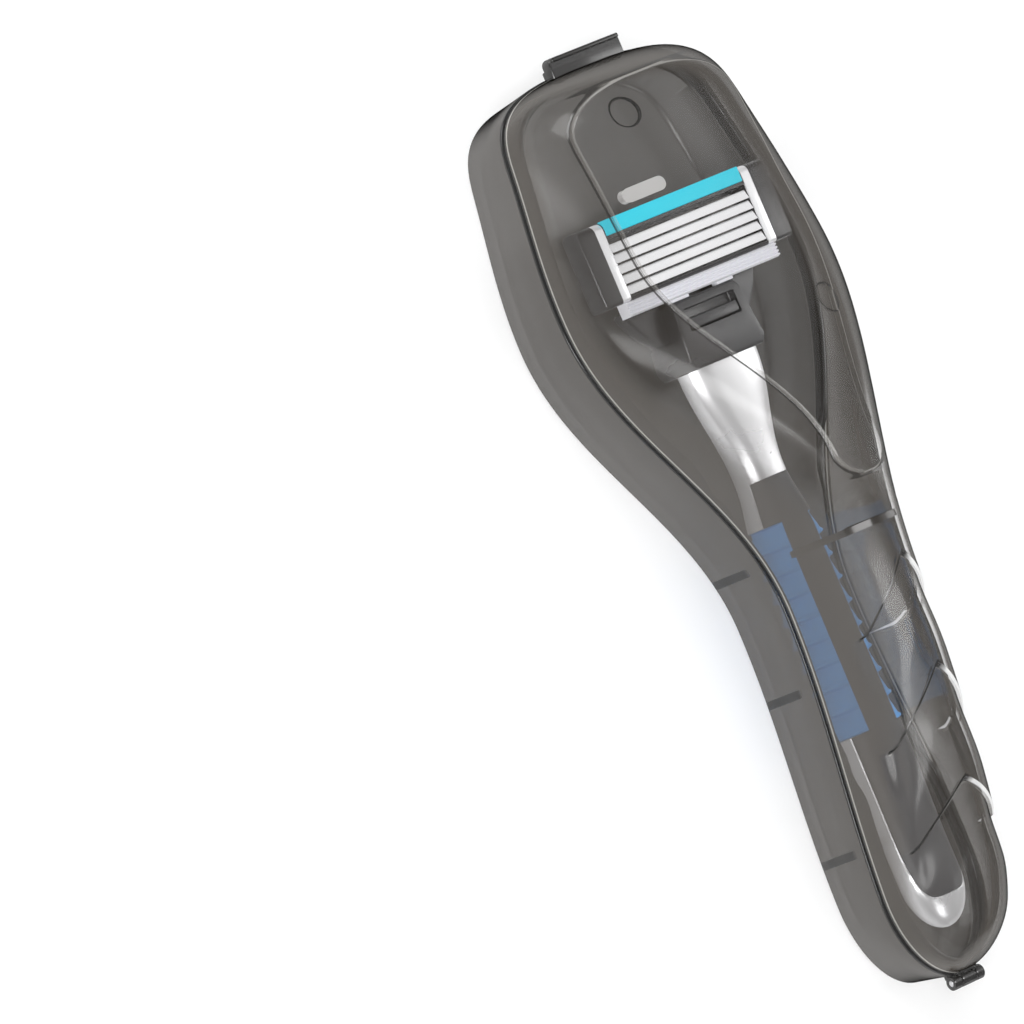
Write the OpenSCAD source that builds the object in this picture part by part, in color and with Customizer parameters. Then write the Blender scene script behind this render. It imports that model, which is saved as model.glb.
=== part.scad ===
// Travel case for a cartridge razor, with the razor lying in it.
// X is the case's width, Y its length with the head at +Y, and Z is up.
// The base stands on z = 0, and stations run from 0 at the head end to case_l at the tail.

/* [Case outline] */
// Length of the case without its hinge and thumb tab
case_l = 172; // [165:1:180]
// Width near the head end
head_end_w = 48.8; // [46:0.2:51]
// Greatest width, over the cartridge
head_w = 59.4; // [58:0.2:63]
// Width at the waist
waist_w = 17; // [16.8:0.1:20]
// Width before the round tail
tail_w = 24.4; // [23:0.2:27]
// Station of the greatest width
head_at = 42; // [38:1:46]
// Station of the waist
waist_at = 102; // [98:1:106]
// Station where the tail is widest
tail_at = 156; // [150:1:158]
// Length of the head's rounded end
head_cap = 14; // [12:1:18]
// Squareness of the head's end
head_square = 3.1; // [2.4:0.1:3.4]
// Length of the tail's rounded end
tail_cap = 17; // [14:1:20]

/* [Base] */
// Height of the base's rim at both ends
base_h = 12; // [11:0.5:14]
// Rise of the rim between its ends
rim_arch = 3.7; // [2.5:0.1:5]
// Wall thickness of the base
base_wall = 1.6; // [1.4:0.1:1.8]
// Floor thickness of the base
base_floor = 1.6; // [1.2:0.1:2.4]
// How far the base's walls lean in towards the floor
draft = 1.2; // [0.6:0.1:1.6]
// Rounding of the base's bottom edge
foot_r = 1; // [0.5:0.1:1.5]
// Height of the lip that locates the lid
lip_h = 1.8; // [1:0.1:2.4]
// Thickness of that lip
lip_w = 0.8; // [0.6:0.1:1]

/* [Lid] */
// Height of the lid above the rim over the cartridge
lid_head_h = 15.8; // [15:0.1:18]
// Height of the lid above the rim at its highest, over the waist
lid_waist_h = 25.3; // [24:0.1:28]
// Height of the lid above the rim before its tail
lid_tail_h = 12.6; // [11:0.1:15]
// Station where the lid is highest
lid_top_at = 84; // [80:1:90]
// Fullness of the lid's cross section
lid_full = 2.4; // [2.2:0.1:2.8]
// Wall thickness of the lid
lid_wall = 1.3; // [1.1:0.1:1.5]
// How far the lid's rim stands in from the base's rim
rim_step = 0.3; // [0.2:0.1:0.5]
// Gap between the rims
rim_gap = 0.3; // [0.3:0.05:0.5]
// Step of the raised head panel
panel_step = 0.5; // [0.3:0.1:0.7]
// Half width of the head panel
panel_half_w = 19.5; // [17:0.5:20]
// Half width of the head panel near its tip
panel_tip_w = 5.5; // [4:0.5:7]
// Depth of the chevron steps
chevron_d = 1; // [0.6:0.1:1.1]
// How far the chevron's arms sweep back
chevron_sweep = 11.2; // [8:0.2:13]

/* [Lid details] */
// Length of the vent slot
slot_l = 9; // [7:0.5:11]
// Width of the vent slot
slot_w = 2.8; // [2:0.1:3.5]
// Diameter of the round dimples
dimple_d = 5.6; // [4.5:0.1:6.5]
// Depth of the round dimples
dimple_depth = 0.4; // [0.2:0.1:0.6]
// Thickness of the cross ribs
rib_t = 1.2; // [1:0.1:1.5]

/* [Hinge and tab] */
// Diameter of the hinge knuckles
knuckle_d = 2.6; // [2.4:0.1:3]
// Diameter of the hinge pin
hinge_pin_d = 1.2; // [1:0.1:1.4]
// Radial clearance of the hinge pin in the lid's knuckle
pin_clear = 0.05; // [0.03:0.01:0.08]
// Length of the lid's knuckle
lid_knuckle_l = 3.2; // [2.8:0.2:4.4]
// Length of each of the base's knuckles
base_knuckle_l = 1.8; // [1.6:0.2:2.6]
// Width of the thumb tab
tab_w = 17.4; // [14:0.2:20]
// How far the thumb tab stands out
tab_out = 3; // [2:0.1:4]
// Thickness of the thumb tab
tab_t = 2.2; // [1.6:0.1:2.8]

/* [Cradle] */
// Station of the first cross rib
rib_1_at = 93; // [90:0.5:96]
// Station of the second cross rib
rib_2_at = 116; // [112:0.5:120]
// Station of the third cross rib
rib_3_at = 145.5; // [142:0.5:149]
// Gap between the ribs and the handle that rests in them
cradle_gap = 0.3; // [0.25:0.05:0.5]

/* [Razor handle] */
// Station where the handle's neck starts
neck_at = 57; // [56:0.2:58]
// Station of the handle's tail
handle_tail_at = 163.5; // [160:0.5:165]
// Width of the handle over its grips
grip_w = 12.6; // [12:0.1:12.8]
// Width of the neck where it meets the collar
neck_w = 17.4; // [16:0.2:18]
// Width of the neck at its slimmest
neck_slim_w = 9.4; // [8.5:0.1:10]
// Width of the handle's tail
handle_tail_w = 12.2; // [11:0.1:13]
// Thickness of the handle at the grips
grip_t = 10; // [9:0.2:10.6]
// Thickness of the neck
neck_t = 8; // [7:0.2:9]
// Thickness of the handle's tail
handle_tail_t = 8; // [7:0.2:9]
// Height of the handle's centre line over the grips
grip_z = 13.6; // [13.2:0.1:14.2]
// Station where the grips start
grip_from = 87; // [85:0.5:89]
// Station where the grips end
grip_to = 126.5; // [122:0.5:130]
// Depth of the rubber grips in the handle's sides
rubber_t = 2.8; // [2:0.1:3.2]
// Height of the grip ribs
grip_rib_h = 0.4; // [0.2:0.05:0.5]
// Depth of the grooves between the grip ribs
grip_groove = 0.5; // [0.3:0.05:0.7]
// Number of ribs on each grip
grip_ribs = 9; // [7:1:11]
// Station where the inlay starts
inlay_from = 79; // [78:0.5:82]
// Station where the inlay ends
inlay_to = 158; // [154:0.5:160]

/* [Collar] */
// Width of the collar at the neck
collar_w = 18.6; // [17:0.2:20]
// Width of the collar at the cartridge
collar_front_w = 16; // [14.5:0.2:17]
// Thickness of the collar
collar_t = 10; // [9:0.2:11]
// Width of the release button
button_w = 12; // [10:0.2:12.6]
// Length of the release button
button_l = 2.1; // [1.6:0.1:2.4]
// Travel of the release button
button_travel = 1.5; // [1:0.1:1.8]
// Gap round the release button
button_gap = 0.3; // [0.25:0.05:0.4]
// Diameter of the return plunger
plunger_d = 2.4; // [2:0.1:2.8]
// Radial clearance of the plunger in its bore
plunger_clear = 0.05; // [0.03:0.01:0.1]

/* [Cartridge] */
// Width of the cartridge
cart_w = 46.5; // [44:0.5:47]
// Length of the cartridge's face along the razor, with its guard
cart_l = 17.2; // [16.6:0.2:17.6]
// Thickness of the cartridge's frame
cart_t = 4.6; // [4.2:0.1:4.8]
// Station of the cartridge's centre
cart_at = 35.5; // [35:0.1:36]
// Height of the cartridge's face
cart_face_z = 20.5; // [20.2:0.1:20.8]
// Width of the cartridge's end walls outside the clips
end_wall = 4.1; // [3.6:0.1:4.6]
// Distance between the blades
blade_pitch = 1.95; // [1.85:0.05:1.95]
// Thickness of a blade
blade_t = 0.25; // [0.2:0.05:0.3]
// Width of the retaining clips
clip_w = 2; // [1.6:0.1:2.2]
// Thickness of the retaining clips
clip_t = 0.3; // [0.2:0.05:0.4]
// Width of the lubricating strip
strip_w = 2.8; // [2.4:0.1:3]
// Diameter of the pivot journals
journal_d = 3; // [2.6:0.1:3.2]
// Radial clearance of the journals
journal_clear = 0.05; // [0.03:0.01:0.1]
// Gap between the cartridge and the yoke
pivot_gap = 0.3; // [0.25:0.05:0.4]

/* [Hidden] */
$fn = 48;

smoke = [0.34, 0.33, 0.32, 0.6];
metal = [0.86, 0.87, 0.88];
dark_grey = [0.27, 0.27, 0.28];
rubber_blue = [0.36, 0.6, 0.86];
black = [0.12, 0.12, 0.13];
teal = [0.13, 0.78, 0.88];
steel = [0.78, 0.79, 0.8];

// Half a cosine wave, from 0 at u = 0 to 1 at u = 1
function ease(u) = (1 - cos(180 * min(max(u, 0), 1))) / 2;
function mix(a, b, u) = a + (b - a) * u;
// Rounded end: 0 at u = 0, full from u = 1 on
function cap(u, n) = u >= 1 ? 1 : pow(1 - pow(1 - max(u, 0), n), 1 / n);
function at_y(t) = case_l / 2 - t;

// Faces between rings of equal length
function ring_faces(rings, n) = concat(
    [for (k = [0:rings - 2], i = [0:n - 1]) let (j = (i + 1) % n)
        [k * n + i, k * n + j, (k + 1) * n + j]],
    [for (k = [0:rings - 2], i = [0:n - 1]) let (j = (i + 1) % n)
        [k * n + i, (k + 1) * n + j, (k + 1) * n + i]]
);
// Solid through rings, closed by a flat face at each end
module loft(rings) {
    n = len(rings[0]);
    polyhedron([for (r = rings) each r], concat(
        ring_faces(len(rings), n),
        [[for (i = [n - 1:-1:0]) i]],
        [[for (i = [0:n - 1]) (len(rings) - 1) * n + i]]
    ));
}
// The same with rings that mirror about their first point, closed by strips from side to side
module mirror_loft(rings) {
    n = len(rings[0]);
    end = (len(rings) - 1) * n;
    polyhedron([for (r = rings) each r], concat(
        ring_faces(len(rings), n),
        [[n - 1, 1, 0], [end, end + 1, end + n - 1]],
        [for (i = [1:n / 2 - 2]) [i, n - i, n - i - 1, i + 1]],
        [for (i = [1:n / 2 - 2]) [end + i, end + i + 1, end + n - i - 1, end + n - i]],
        [[n / 2 - 1, n / 2 + 1, n / 2], [end + n / 2 - 1, end + n / 2, end + n / 2 + 1]]
    ));
}
// Runs a profile along X; its first value is Y, its second Z
module along_x(from, to) {
    translate([from, 0, 0]) rotate([90, 0, 90]) linear_extrude(to - from) children();
}
module rod_x(from, to, d) {
    translate([from, 0, 0]) rotate([0, 90, 0]) cylinder(h = to - from, d = d);
}

// Case outline
tail_round = 2;
function side_w(t) =
    t < head_at ? mix(head_end_w, head_w, ease(t / head_at))
    : t < waist_at ? mix(head_w, waist_w, ease((t - head_at) / (waist_at - head_at)))
    : mix(waist_w, tail_w, ease((t - waist_at) / (tail_at - waist_at)));
function half_w(t, inset = 0, end_inset = undef) =
    let (ends = is_undef(end_inset) ? inset : end_inset)
    (side_w(t) / 2 - inset)
    * cap((t - ends) / head_cap, head_square)
    * cap((case_l - ends - t) / tail_cap, tail_round);
function rim_z(t) = base_h + rim_arch * (1 - pow((2 * t - case_l) / case_l, 2));

// Stations of an outline that stands in by inset, closer together at the round ends
end_steps = 8;
side_steps = 24;
function head_station(i, inset) =
    inset + head_cap * (1 - pow(cos(90 * i / end_steps), 2 / head_square));
function tail_station(i, inset) = case_l - inset - tail_cap * (1 - sin(90 * i / end_steps));
function stations(inset) = concat(
    [for (i = [0:end_steps]) head_station(i, inset)],
    [for (i = [1:side_steps - 1])
        mix(inset + head_cap, case_l - inset - tail_cap, i / side_steps)],
    [for (i = [0:end_steps]) tail_station(i, inset)]
);

// Base: its lip, and the shelf that carries it, stop along the waist, where the handle fills it
lip_stop = waist_at - 22;
lip_start = waist_at + 22;
lip_ramp = 6;
lip_lag = 8;
edge_break = 0.1;
shelf_t = 1.2;
lip_inset = rim_step + lid_wall + rim_gap;
function off_waist(t, lag) = 1 - ease((t - lip_stop + lag) / lip_ramp)
    * (1 - ease((t - lip_start - lag) / lip_ramp));
function lip_on(t) = off_waist(t, 0);
function shelf_inset(t) = mix(base_wall, lip_inset + lip_w, lip_on(t));
function lip_out(t) = min(lip_inset, shelf_inset(t) - edge_break);
function lip_top(t) = rim_z(t) + edge_break + lip_h * off_waist(t, lip_lag);
// A ring round the base: its inset and height are functions of the station
function base_ring(inset_of, z_of) = let (
    ends = inset_of(0),
    ts = stations(ends),
    last = len(ts) - 1
) concat(
    [for (i = [0:last]) [half_w(ts[i], inset_of(ts[i]), ends), at_y(ts[i]), z_of(ts[i])]],
    [for (i = [last - 1:-1:1]) [-half_w(ts[i], inset_of(ts[i]), ends), at_y(ts[i]), z_of(ts[i])]]
);

module base_shell() {
    mirror_loft([
        base_ring(function (t) draft + foot_r, function (t) 0),
        base_ring(function (t) draft + foot_r * 0.3, function (t) foot_r * 0.3),
        base_ring(function (t) draft, function (t) foot_r),
        base_ring(function (t) 0, function (t) rim_z(t)),
        base_ring(function (t) lip_out(t), function (t) rim_z(t) + edge_break / 2),
        base_ring(function (t) lip_out(t) + edge_break / 2, function (t) lip_top(t)),
        base_ring(function (t) shelf_inset(t), function (t) lip_top(t) + edge_break / 2),
        base_ring(function (t) shelf_inset(t) + edge_break, function (t) rim_z(t) - shelf_t),
        base_ring(function (t) base_wall + 2 * edge_break, function (t) rim_z(t) - 2 * shelf_t),
        base_ring(function (t) base_wall + draft, function (t) base_floor)
    ]);
}

// Cross ribs of the base, notched for the handle
rib_below_rim = 1.2;
rib_bite = 0.4;
module cradle_rib(t) {
    low = half_w(t, draft + base_wall - rib_bite);
    high = half_w(t, base_wall - rib_bite);
    top = rim_z(t) - rib_below_rim;
    room = cradle_gap + (in_grip(t) ? grip_rib_h : 0);
    notch = handle_half_w(t) + room;
    notch_r = handle_half_t(t) + room;
    translate([0, at_y(t) + rib_t / 2, 0]) rotate([90, 0, 0]) linear_extrude(rib_t) difference() {
        polygon([[-low, base_floor - rib_bite], [low, base_floor - rib_bite],
            [high, top], [-high, top]]);
        polygon([for (a = [180:10:360])
            [notch * round_cos(a, handle_full), handle_z(t) + notch_r * round_sin(a, handle_full)],
            [notch, top + 1], [-notch, top + 1]]);
    }
}

// Hinge at the tail: the base's outer knuckles and the lid's middle one share a pin
hinge_out = knuckle_d / 2 - 0.4;
hinge_y = -case_l / 2 - hinge_out;
hinge_z = base_h + rim_gap / 2;
hinge_gap = 0.3;
base_knuckle_at = lid_knuckle_l / 2 + hinge_gap;
hinge_l = 2 * (base_knuckle_at + base_knuckle_l);
arm_reach = 3.4;
arm_t = 1;
relief_side = 0.4;
module base_knuckles() {
    for (side = [-1, 1]) {
        x = side > 0 ? base_knuckle_at : -base_knuckle_at - base_knuckle_l;
        translate([0, hinge_y, hinge_z]) rod_x(x, x + base_knuckle_l, knuckle_d);
        translate([x, hinge_y, hinge_z - rim_gap / 2 - arm_t])
            cube([base_knuckle_l, hinge_out + arm_reach, arm_t]);
    }
}
// Rounded tab in plan, standing out from the head's end
tab_r = 1.2;
tab_root = 1.4;
module tab_plan(w, out) {
    y = case_l / 2;
    translate([-w / 2, y - tab_root]) square([w, tab_root + out - tab_r]);
    translate([-w / 2 + tab_r, y - tab_root]) square([w - 2 * tab_r, tab_root + out]);
    for (side = [-1, 1]) translate([side * (w / 2 - tab_r), y + out - tab_r]) circle(r = tab_r);
}
ledge_out = 1.2;
ledge_t = 1.6;
ledge_drop = 1;

module case_base() {
    color(smoke) difference() {
        union() {
            difference() {
                base_shell();
                translate([0, hinge_y, hinge_z]) rod_x(-base_knuckle_at - relief_side,
                    base_knuckle_at + relief_side, knuckle_d + 2 * hinge_gap);
            }
            for (t = [rib_1_at, rib_2_at, rib_3_at]) cradle_rib(t);
            base_knuckles();
            translate([0, 0, base_h - ledge_drop - ledge_t])
                linear_extrude(ledge_t) tab_plan(tab_w - 4, ledge_out);
        }
        translate([0, hinge_y, hinge_z]) rod_x(-hinge_l, hinge_l, hinge_pin_d);
    }
}

module hinge_pin() {
    color(metal) translate([0, hinge_y, hinge_z]) rod_x(-hinge_l / 2, hinge_l / 2, hinge_pin_d);
}

// Lid: rows run along the case, columns run over each section from the right rim to the left
lid_head_cap = 16;
lid_head_round = 2.4;
lid_tail_cap = 9;
lid_tail_at = tail_at + 4;
lid_climb_from = head_at - 14;
function lid_side_h(t) = t < lid_top_at
    ? mix(lid_head_h, lid_waist_h, ease((t - lid_climb_from) / (lid_top_at - lid_climb_from)))
    : lid_waist_h - (lid_waist_h - lid_tail_h) * pow((t - lid_top_at) / (lid_tail_at - lid_top_at), 2);
function lid_h(t, wall, inset) = (lid_side_h(t) - wall)
    * cap((t - inset) / lid_head_cap, lid_head_round)
    * cap((case_l - inset - t) / lid_tail_cap, tail_round);

// Cosine and sine of a superellipse
function round_cos(a, n) = sign(cos(a)) * pow(abs(cos(a)), 2 / n);
function round_sin(a, n) = sign(sin(a)) * pow(abs(sin(a)), 2 / n);

// Raised panel on the head, shaped like a paddle whose tip meets the waist
panel_from = 5;
panel_to = lid_top_at + 0.6;
panel_taper_from = head_at - 6;
panel_taper_to = lid_top_at - 4;
panel_head_cap = 9;
panel_tip_cap = 5;
panel_least = 2.5;
function panel_edge(t) = max(panel_least,
    mix(panel_half_w, panel_tip_w,
        ease((t - panel_taper_from) / (panel_taper_to - panel_taper_from)))
    * cap((t - panel_from) / panel_head_cap, 2.4)
    * cap((panel_to - t) / panel_tip_cap, tail_round));
function on_panel(t) = t > panel_from && t < panel_to;

// Chevron steps over the handle: sharp at the crown, with arms that sweep back down both sides
chevron_from = waist_at - 2.4;
chevron_pitch = 20.2;
chevron_n = 3;
chevron_edge = 0.5;
chevron_arm_end = 38;
chevron_fade = 14;
chevron_recover = 13;
sweep_in = 14;
sweep_out = 58;
function sweep(u, inset) = chevron_sweep * ease((u - panel_to) / sweep_in)
    * sin(90 * min(1, (case_l - inset - u) / sweep_out));
function rise(a) = min(a, 180 - a);
function arm(a) = min(1, (90 - rise(a)) / (90 - chevron_arm_end));
function chevron_drop(u, a) = let (k = floor((u - chevron_from) / chevron_pitch))
    k < 0 || k >= chevron_n ? 0
    : let (past = u - chevron_from - k * chevron_pitch)
        chevron_d * ease((rise(a) - chevron_arm_end + chevron_fade) / chevron_fade)
        * min(1, past / chevron_edge) * (1 - ease((past - chevron_edge) / chevron_recover));

// Columns of a section, with a close pair along the panel's edge
low_cols = 5;
high_cols = 5;
edge_angle = 1.3;
plain_angle = 50;
angle_blend = 8;
tip_step = 0.1;
function panel_angle(t) = acos(pow(min(0.95, panel_edge(t) / half_w(t, rim_step)), lid_full / 2));
function col_angle(t) =
    t < panel_from ? mix(plain_angle, panel_angle(panel_from + tip_step), t / panel_from)
    : t < panel_to ? panel_angle(t)
    : mix(panel_angle(panel_to - tip_step), plain_angle, ease((t - panel_to) / angle_blend));
function half_cols(a) = concat(
    [for (i = [0:low_cols]) (a - edge_angle) * i / low_cols],
    [for (i = [0:high_cols]) mix(a + edge_angle, 90, i / high_cols)]
);
function cols(a) = let (h = half_cols(a), last = len(h) - 1)
    concat(h, [for (i = [last - 1:-1:0]) 180 - h[i]]);

function lid_point(u, a, inset, wall) = let (
    t = u + sweep(u, inset) * arm(a),
    x = half_w(t, inset) * round_cos(a, lid_full),
    z = lid_h(t, wall, inset) * abs(round_sin(a, lid_full)),
    lift = (on_panel(u) && rise(a) > panel_angle(u) ? panel_step : 0) - chevron_drop(u, a),
    k = rise(a) > 0 ? 1 + lift / norm([x, z]) : 1
) [x * k, at_y(t), rim_z(t) + rim_gap + z * k];

head_rows = 11;
waist_rows = 3;
function lid_rows(inset) = concat(
    [for (i = [1:end_steps - 1]) head_station(i, inset)],
    [for (i = [0:head_rows]) mix(inset + head_cap, panel_to - 1, i / head_rows)],
    [panel_to - tip_step, panel_to + 0.5],
    [for (i = [1:waist_rows]) mix(panel_to, chevron_from, i / waist_rows)],
    [for (k = [0:chevron_n - 1], f = [0.02, 0.15, 0.35, 0.6, 0.99])
        if (k < chevron_n - 1 || f < 0.6)
            chevron_from + k * chevron_pitch + max(f * chevron_pitch, chevron_edge)],
    [for (i = [0:end_steps - 1]) tail_station(i, inset)]
);
function lid_grid(inset, wall) = concat(
    [for (u = lid_rows(inset), a = cols(col_angle(u))) lid_point(u, a, inset, wall)],
    [[0, at_y(inset), rim_z(inset) + rim_gap],
        [0, at_y(case_l - inset), rim_z(case_l - inset) + rim_gap]]
);
// Faces of one grid with its two poles; flip turns them to face inwards
function flip_if(f, flip) = flip ? [f[2], f[1], f[0]] : f;
function grid_faces(rows, n, base, flip) = let (head = base + rows * n, tail = head + 1) concat(
    [for (r = [0:rows - 2], c = [0:n - 2]) let (p = base + r * n + c)
        flip_if([p, p + 1, p + n + 1], flip)],
    [for (r = [0:rows - 2], c = [0:n - 2]) let (p = base + r * n + c)
        flip_if([p, p + n + 1, p + n], flip)],
    [for (c = [0:n - 2]) flip_if([head, base + c + 1, base + c], flip)],
    [for (c = [0:n - 2]) let (p = base + (rows - 1) * n + c) flip_if([tail, p, p + 1], flip)]
);
// The rim between the outer and the inner grid, down one side and back up the other
function rim_path(rows, n, base) = concat(
    [base + rows * n],
    [for (r = [0:rows - 1]) base + r * n],
    [base + rows * n + 1],
    [for (r = [rows - 1:-1:0]) base + r * n + n - 1]
);
module lid_shell() {
    n = 2 * (low_cols + high_cols + 1) + 1;
    outer = lid_grid(rim_step, 0);
    inner = lid_grid(rim_step + lid_wall, lid_wall);
    rows = (len(outer) - 2) / n;
    a = rim_path(rows, n, 0);
    b = rim_path(rows, n, len(outer));
    polyhedron(concat(outer, inner), concat(
        grid_faces(rows, n, 0, true),
        grid_faces(rows, n, len(outer), false),
        [for (i = [0:len(a) - 1]) let (j = (i + 1) % len(a)) [a[i], b[j], a[j]]],
        [for (i = [0:len(a) - 1]) let (j = (i + 1) % len(a)) [a[i], b[i], b[j]]]
    ));
}

// Height of the lid over a point, with the panel's step
function lid_top(x, t) = rim_z(t) + rim_gap + panel_step
    + lid_h(t, 0, rim_step) * pow(1 - pow(abs(x) / half_w(t, rim_step), lid_full), 1 / lid_full);
slope_step = 0.5;
module on_lid(x, t) {
    across = (lid_top(x + slope_step, t) - lid_top(x - slope_step, t)) / (2 * slope_step);
    along = (lid_top(x, t - slope_step) - lid_top(x, t + slope_step)) / (2 * slope_step);
    translate([x, at_y(t), lid_top(x, t)]) rotate([atan(along), -atan(across), 0]) children();
}
// How far the lid falls away from its tangent at a dimple's edge
function dimple_sag(x, t) = lid_top(x, t)
    - (lid_top(x, t - dimple_d / 2) + lid_top(x, t + dimple_d / 2)) / 2;
slot_x = -12.3;
slot_at = 24.6;
dimples = [[-8.7, 10.9], [12.4, 54.1]];
rib_depth = 2;
lid_rib_points = 12;
// Thin rib that follows the inside of the lid
module lid_rib(t) {
    inset = rim_step + lid_wall - rib_bite;
    w = half_w(t, inset);
    h = lid_h(t, lid_wall - rib_bite, inset);
    depth = rib_depth + rib_bite;
    arc = [for (i = [0:lid_rib_points]) 15 + 150 * i / lid_rib_points];
    translate([0, at_y(t) + rib_t / 2, rim_z(t) + rim_gap]) rotate([90, 0, 0])
        linear_extrude(rib_t) polygon(concat(
            [for (a = arc) [w * round_cos(a, lid_full), h * round_sin(a, lid_full)]],
            [for (i = [lid_rib_points:-1:0]) let (a = arc[i])
                [(w - depth) * round_cos(a, lid_full), (h - depth) * round_sin(a, lid_full)]]
        ));
}

tab_lip_t = 0.8;
tab_lip_h = 0.8;
module thumb_tab() {
    translate([0, 0, base_h + rim_gap]) difference() {
        linear_extrude(tab_t + tab_lip_h) tab_plan(tab_w, tab_out);
        translate([-tab_w, case_l / 2 - 2 * tab_root, tab_t])
            cube([2 * tab_w, 2 * tab_root + tab_out - tab_lip_t, 2 * tab_lip_h]);
    }
}
module lid_knuckle() {
    translate([0, hinge_y, hinge_z]) rod_x(-lid_knuckle_l / 2, lid_knuckle_l / 2, knuckle_d);
    translate([-lid_knuckle_l / 2, hinge_y, hinge_z + rim_gap / 2])
        cube([lid_knuckle_l, hinge_out + rim_step + lid_wall, knuckle_d / 2]);
}
module case_lid() {
    color(smoke) difference() {
        union() {
            lid_shell();
            lid_rib(rib_1_at);
            thumb_tab();
            lid_knuckle();
        }
        translate([0, hinge_y, hinge_z])
            rod_x(-lid_knuckle_l, lid_knuckle_l, hinge_pin_d + 2 * pin_clear);
        translate([slot_x, at_y(slot_at), rim_z(slot_at)]) linear_extrude(2 * lid_head_h) {
            square([slot_l - slot_w, slot_w], center = true);
            for (side = [-1, 1]) translate([side * (slot_l - slot_w) / 2, 0]) circle(d = slot_w);
        }
        for (p = dimples) on_lid(p[0], p[1])
            translate([0, 0, -dimple_depth - dimple_sag(p[0], p[1])])
                cylinder(h = 2 * dimple_d, d = dimple_d);
    }
}

// Razor handle: superellipse sections along a nearly straight centre line
handle_full = 2.5;
neck_rise = 1.2;
neck_end_at = inlay_from - 1;
grip_full_at = grip_from + 3;
handle_tail_cap = 9;
handle_taper_to = inlay_to - 8;
function handle_z(t) = grip_z + neck_rise * (1 - ease((t - neck_at) / (neck_end_at - neck_at)));
function handle_cap(t) = cap((handle_tail_at - t) / handle_tail_cap, tail_round);
function handle_half_w(t) = handle_cap(t) / 2 * (
    t < neck_end_at ? mix(neck_w, neck_slim_w, ease((t - neck_at) / (neck_end_at - neck_at)))
    : t < grip_full_at
        ? mix(neck_slim_w, grip_w, ease((t - neck_end_at) / (grip_full_at - neck_end_at)))
    : mix(grip_w, handle_tail_w, ease((t - grip_to) / (handle_taper_to - grip_to))));
function handle_half_t(t) = handle_cap(t) / 2 * (
    t < grip_full_at ? mix(neck_t, grip_t, ease((t - neck_end_at) / (grip_full_at - neck_end_at)))
    : mix(grip_t, handle_tail_t, ease((t - grip_to) / (handle_taper_to - grip_to))));
function in_grip(t) = t > grip_from && t < grip_to;
function grip_x(t) = handle_half_w(t) - rubber_t;
// The inlay lies above this height; its tail end closes in a round tip
inlay_cut = 0.4;
inlay_tip = 12;
inlay_end = inlay_to - 0.3;
function inlay_z(t) = handle_z(t) + handle_half_t(t)
    * mix(1, inlay_cut, cap((inlay_to - t) / inlay_tip, tail_round));
function in_inlay(t) = t > inlay_from && t < inlay_to;
function handle_top(x, t) = handle_z(t)
    + handle_half_t(t) * pow(max(0, 1 - pow(abs(x) / handle_half_w(t), handle_full)), 1 / handle_full);

handle_cols = 24;
tail_steps = 5;
join = 0.01;
function handle_ring(t) = [for (i = [0:handle_cols - 1]) let (
    a = -360 * i / handle_cols,
    x = handle_half_w(t) * round_cos(a, handle_full),
    z = handle_z(t) + handle_half_t(t) * round_sin(a, handle_full),
    x_most = in_grip(t) ? grip_x(t) : handle_half_w(t),
    z_most = in_inlay(t) ? inlay_z(t) : z
) [min(max(x, -x_most), x_most), at_y(t), min(z, z_most)]];
function span(from, to, n) = [for (i = [0:n]) mix(from, to, i / n)];
handle_ts = concat(
    span(neck_at, inlay_from - join, 6), span(inlay_from + join, grip_from - join, 3),
    span(grip_from + join, grip_to - join, 5), span(grip_to + join, handle_taper_to, 3),
    [for (i = [1:tail_steps]) mix(handle_taper_to, inlay_end, i / tail_steps)],
    [inlay_to],
    [for (i = [1:tail_steps])
        handle_tail_at - handle_tail_cap
            * (1 - sin(90 * (1 - i / tail_steps) * (handle_tail_at - inlay_to) / handle_tail_cap)) - join]
);
module handle_body() {
    color(metal) loft([for (t = handle_ts) handle_ring(t)]);
}

top_points = 8;
inlay_side = 0.97;
function inlay_ring(t) = let (
    level = (inlay_z(t) - handle_z(t)) / handle_half_t(t),
    free = inlay_side * handle_half_w(t) * pow(1 - pow(min(level, 0.995), handle_full), 1 / handle_full),
    w = in_grip(t) ? min(free, grip_x(t)) : free
) concat(
    [for (i = [0:top_points]) let (x = mix(-w, w, i / top_points)) [x, at_y(t), handle_top(x, t)]],
    [[w, at_y(t), inlay_z(t) + 2 * join], [-w, at_y(t), inlay_z(t) + 2 * join]]
);
module handle_inlay() {
    color(dark_grey) loft([for (t = concat(
        span(inlay_from + join, grip_from - join, 3), span(grip_from + join, grip_to - join, 5),
        span(grip_to + join, handle_taper_to, 3),
        [for (i = [1:tail_steps]) mix(handle_taper_to, inlay_end, i / tail_steps)]
    )) inlay_ring(t)]);
}

// Rubber grip: the side of the handle beyond grip_x. Each rib climbs slowly and drops at once
grip_points = 8;
function grip_ring(t, bump) = let (
    edge = acos(pow(grip_x(t) / handle_half_w(t), handle_full / 2))
) [for (i = [0:grip_points]) let (
    a = mix(edge, -edge, i / grip_points),
    k = i == 0 || i == grip_points ? 0 : bump
) [(handle_half_w(t) + k) * round_cos(a, handle_full), at_y(t),
    handle_z(t) + (handle_half_t(t) + k) * round_sin(a, handle_full)]];
module grip() {
    pitch = (grip_to - grip_from) / grip_ribs;
    rib = [[0.06, -grip_groove], [0.4, -grip_groove / 2], [0.76, 0], [0.86, grip_rib_h],
        [0.95, grip_rib_h]];
    loft(concat(
        [grip_ring(grip_from + 2 * join, 0)],
        [for (i = [0:grip_ribs - 1], p = rib) grip_ring(grip_from + pitch * (i + p[0]), p[1])],
        [grip_ring(grip_to - 2 * join, 0)]
    ));
}
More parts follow.
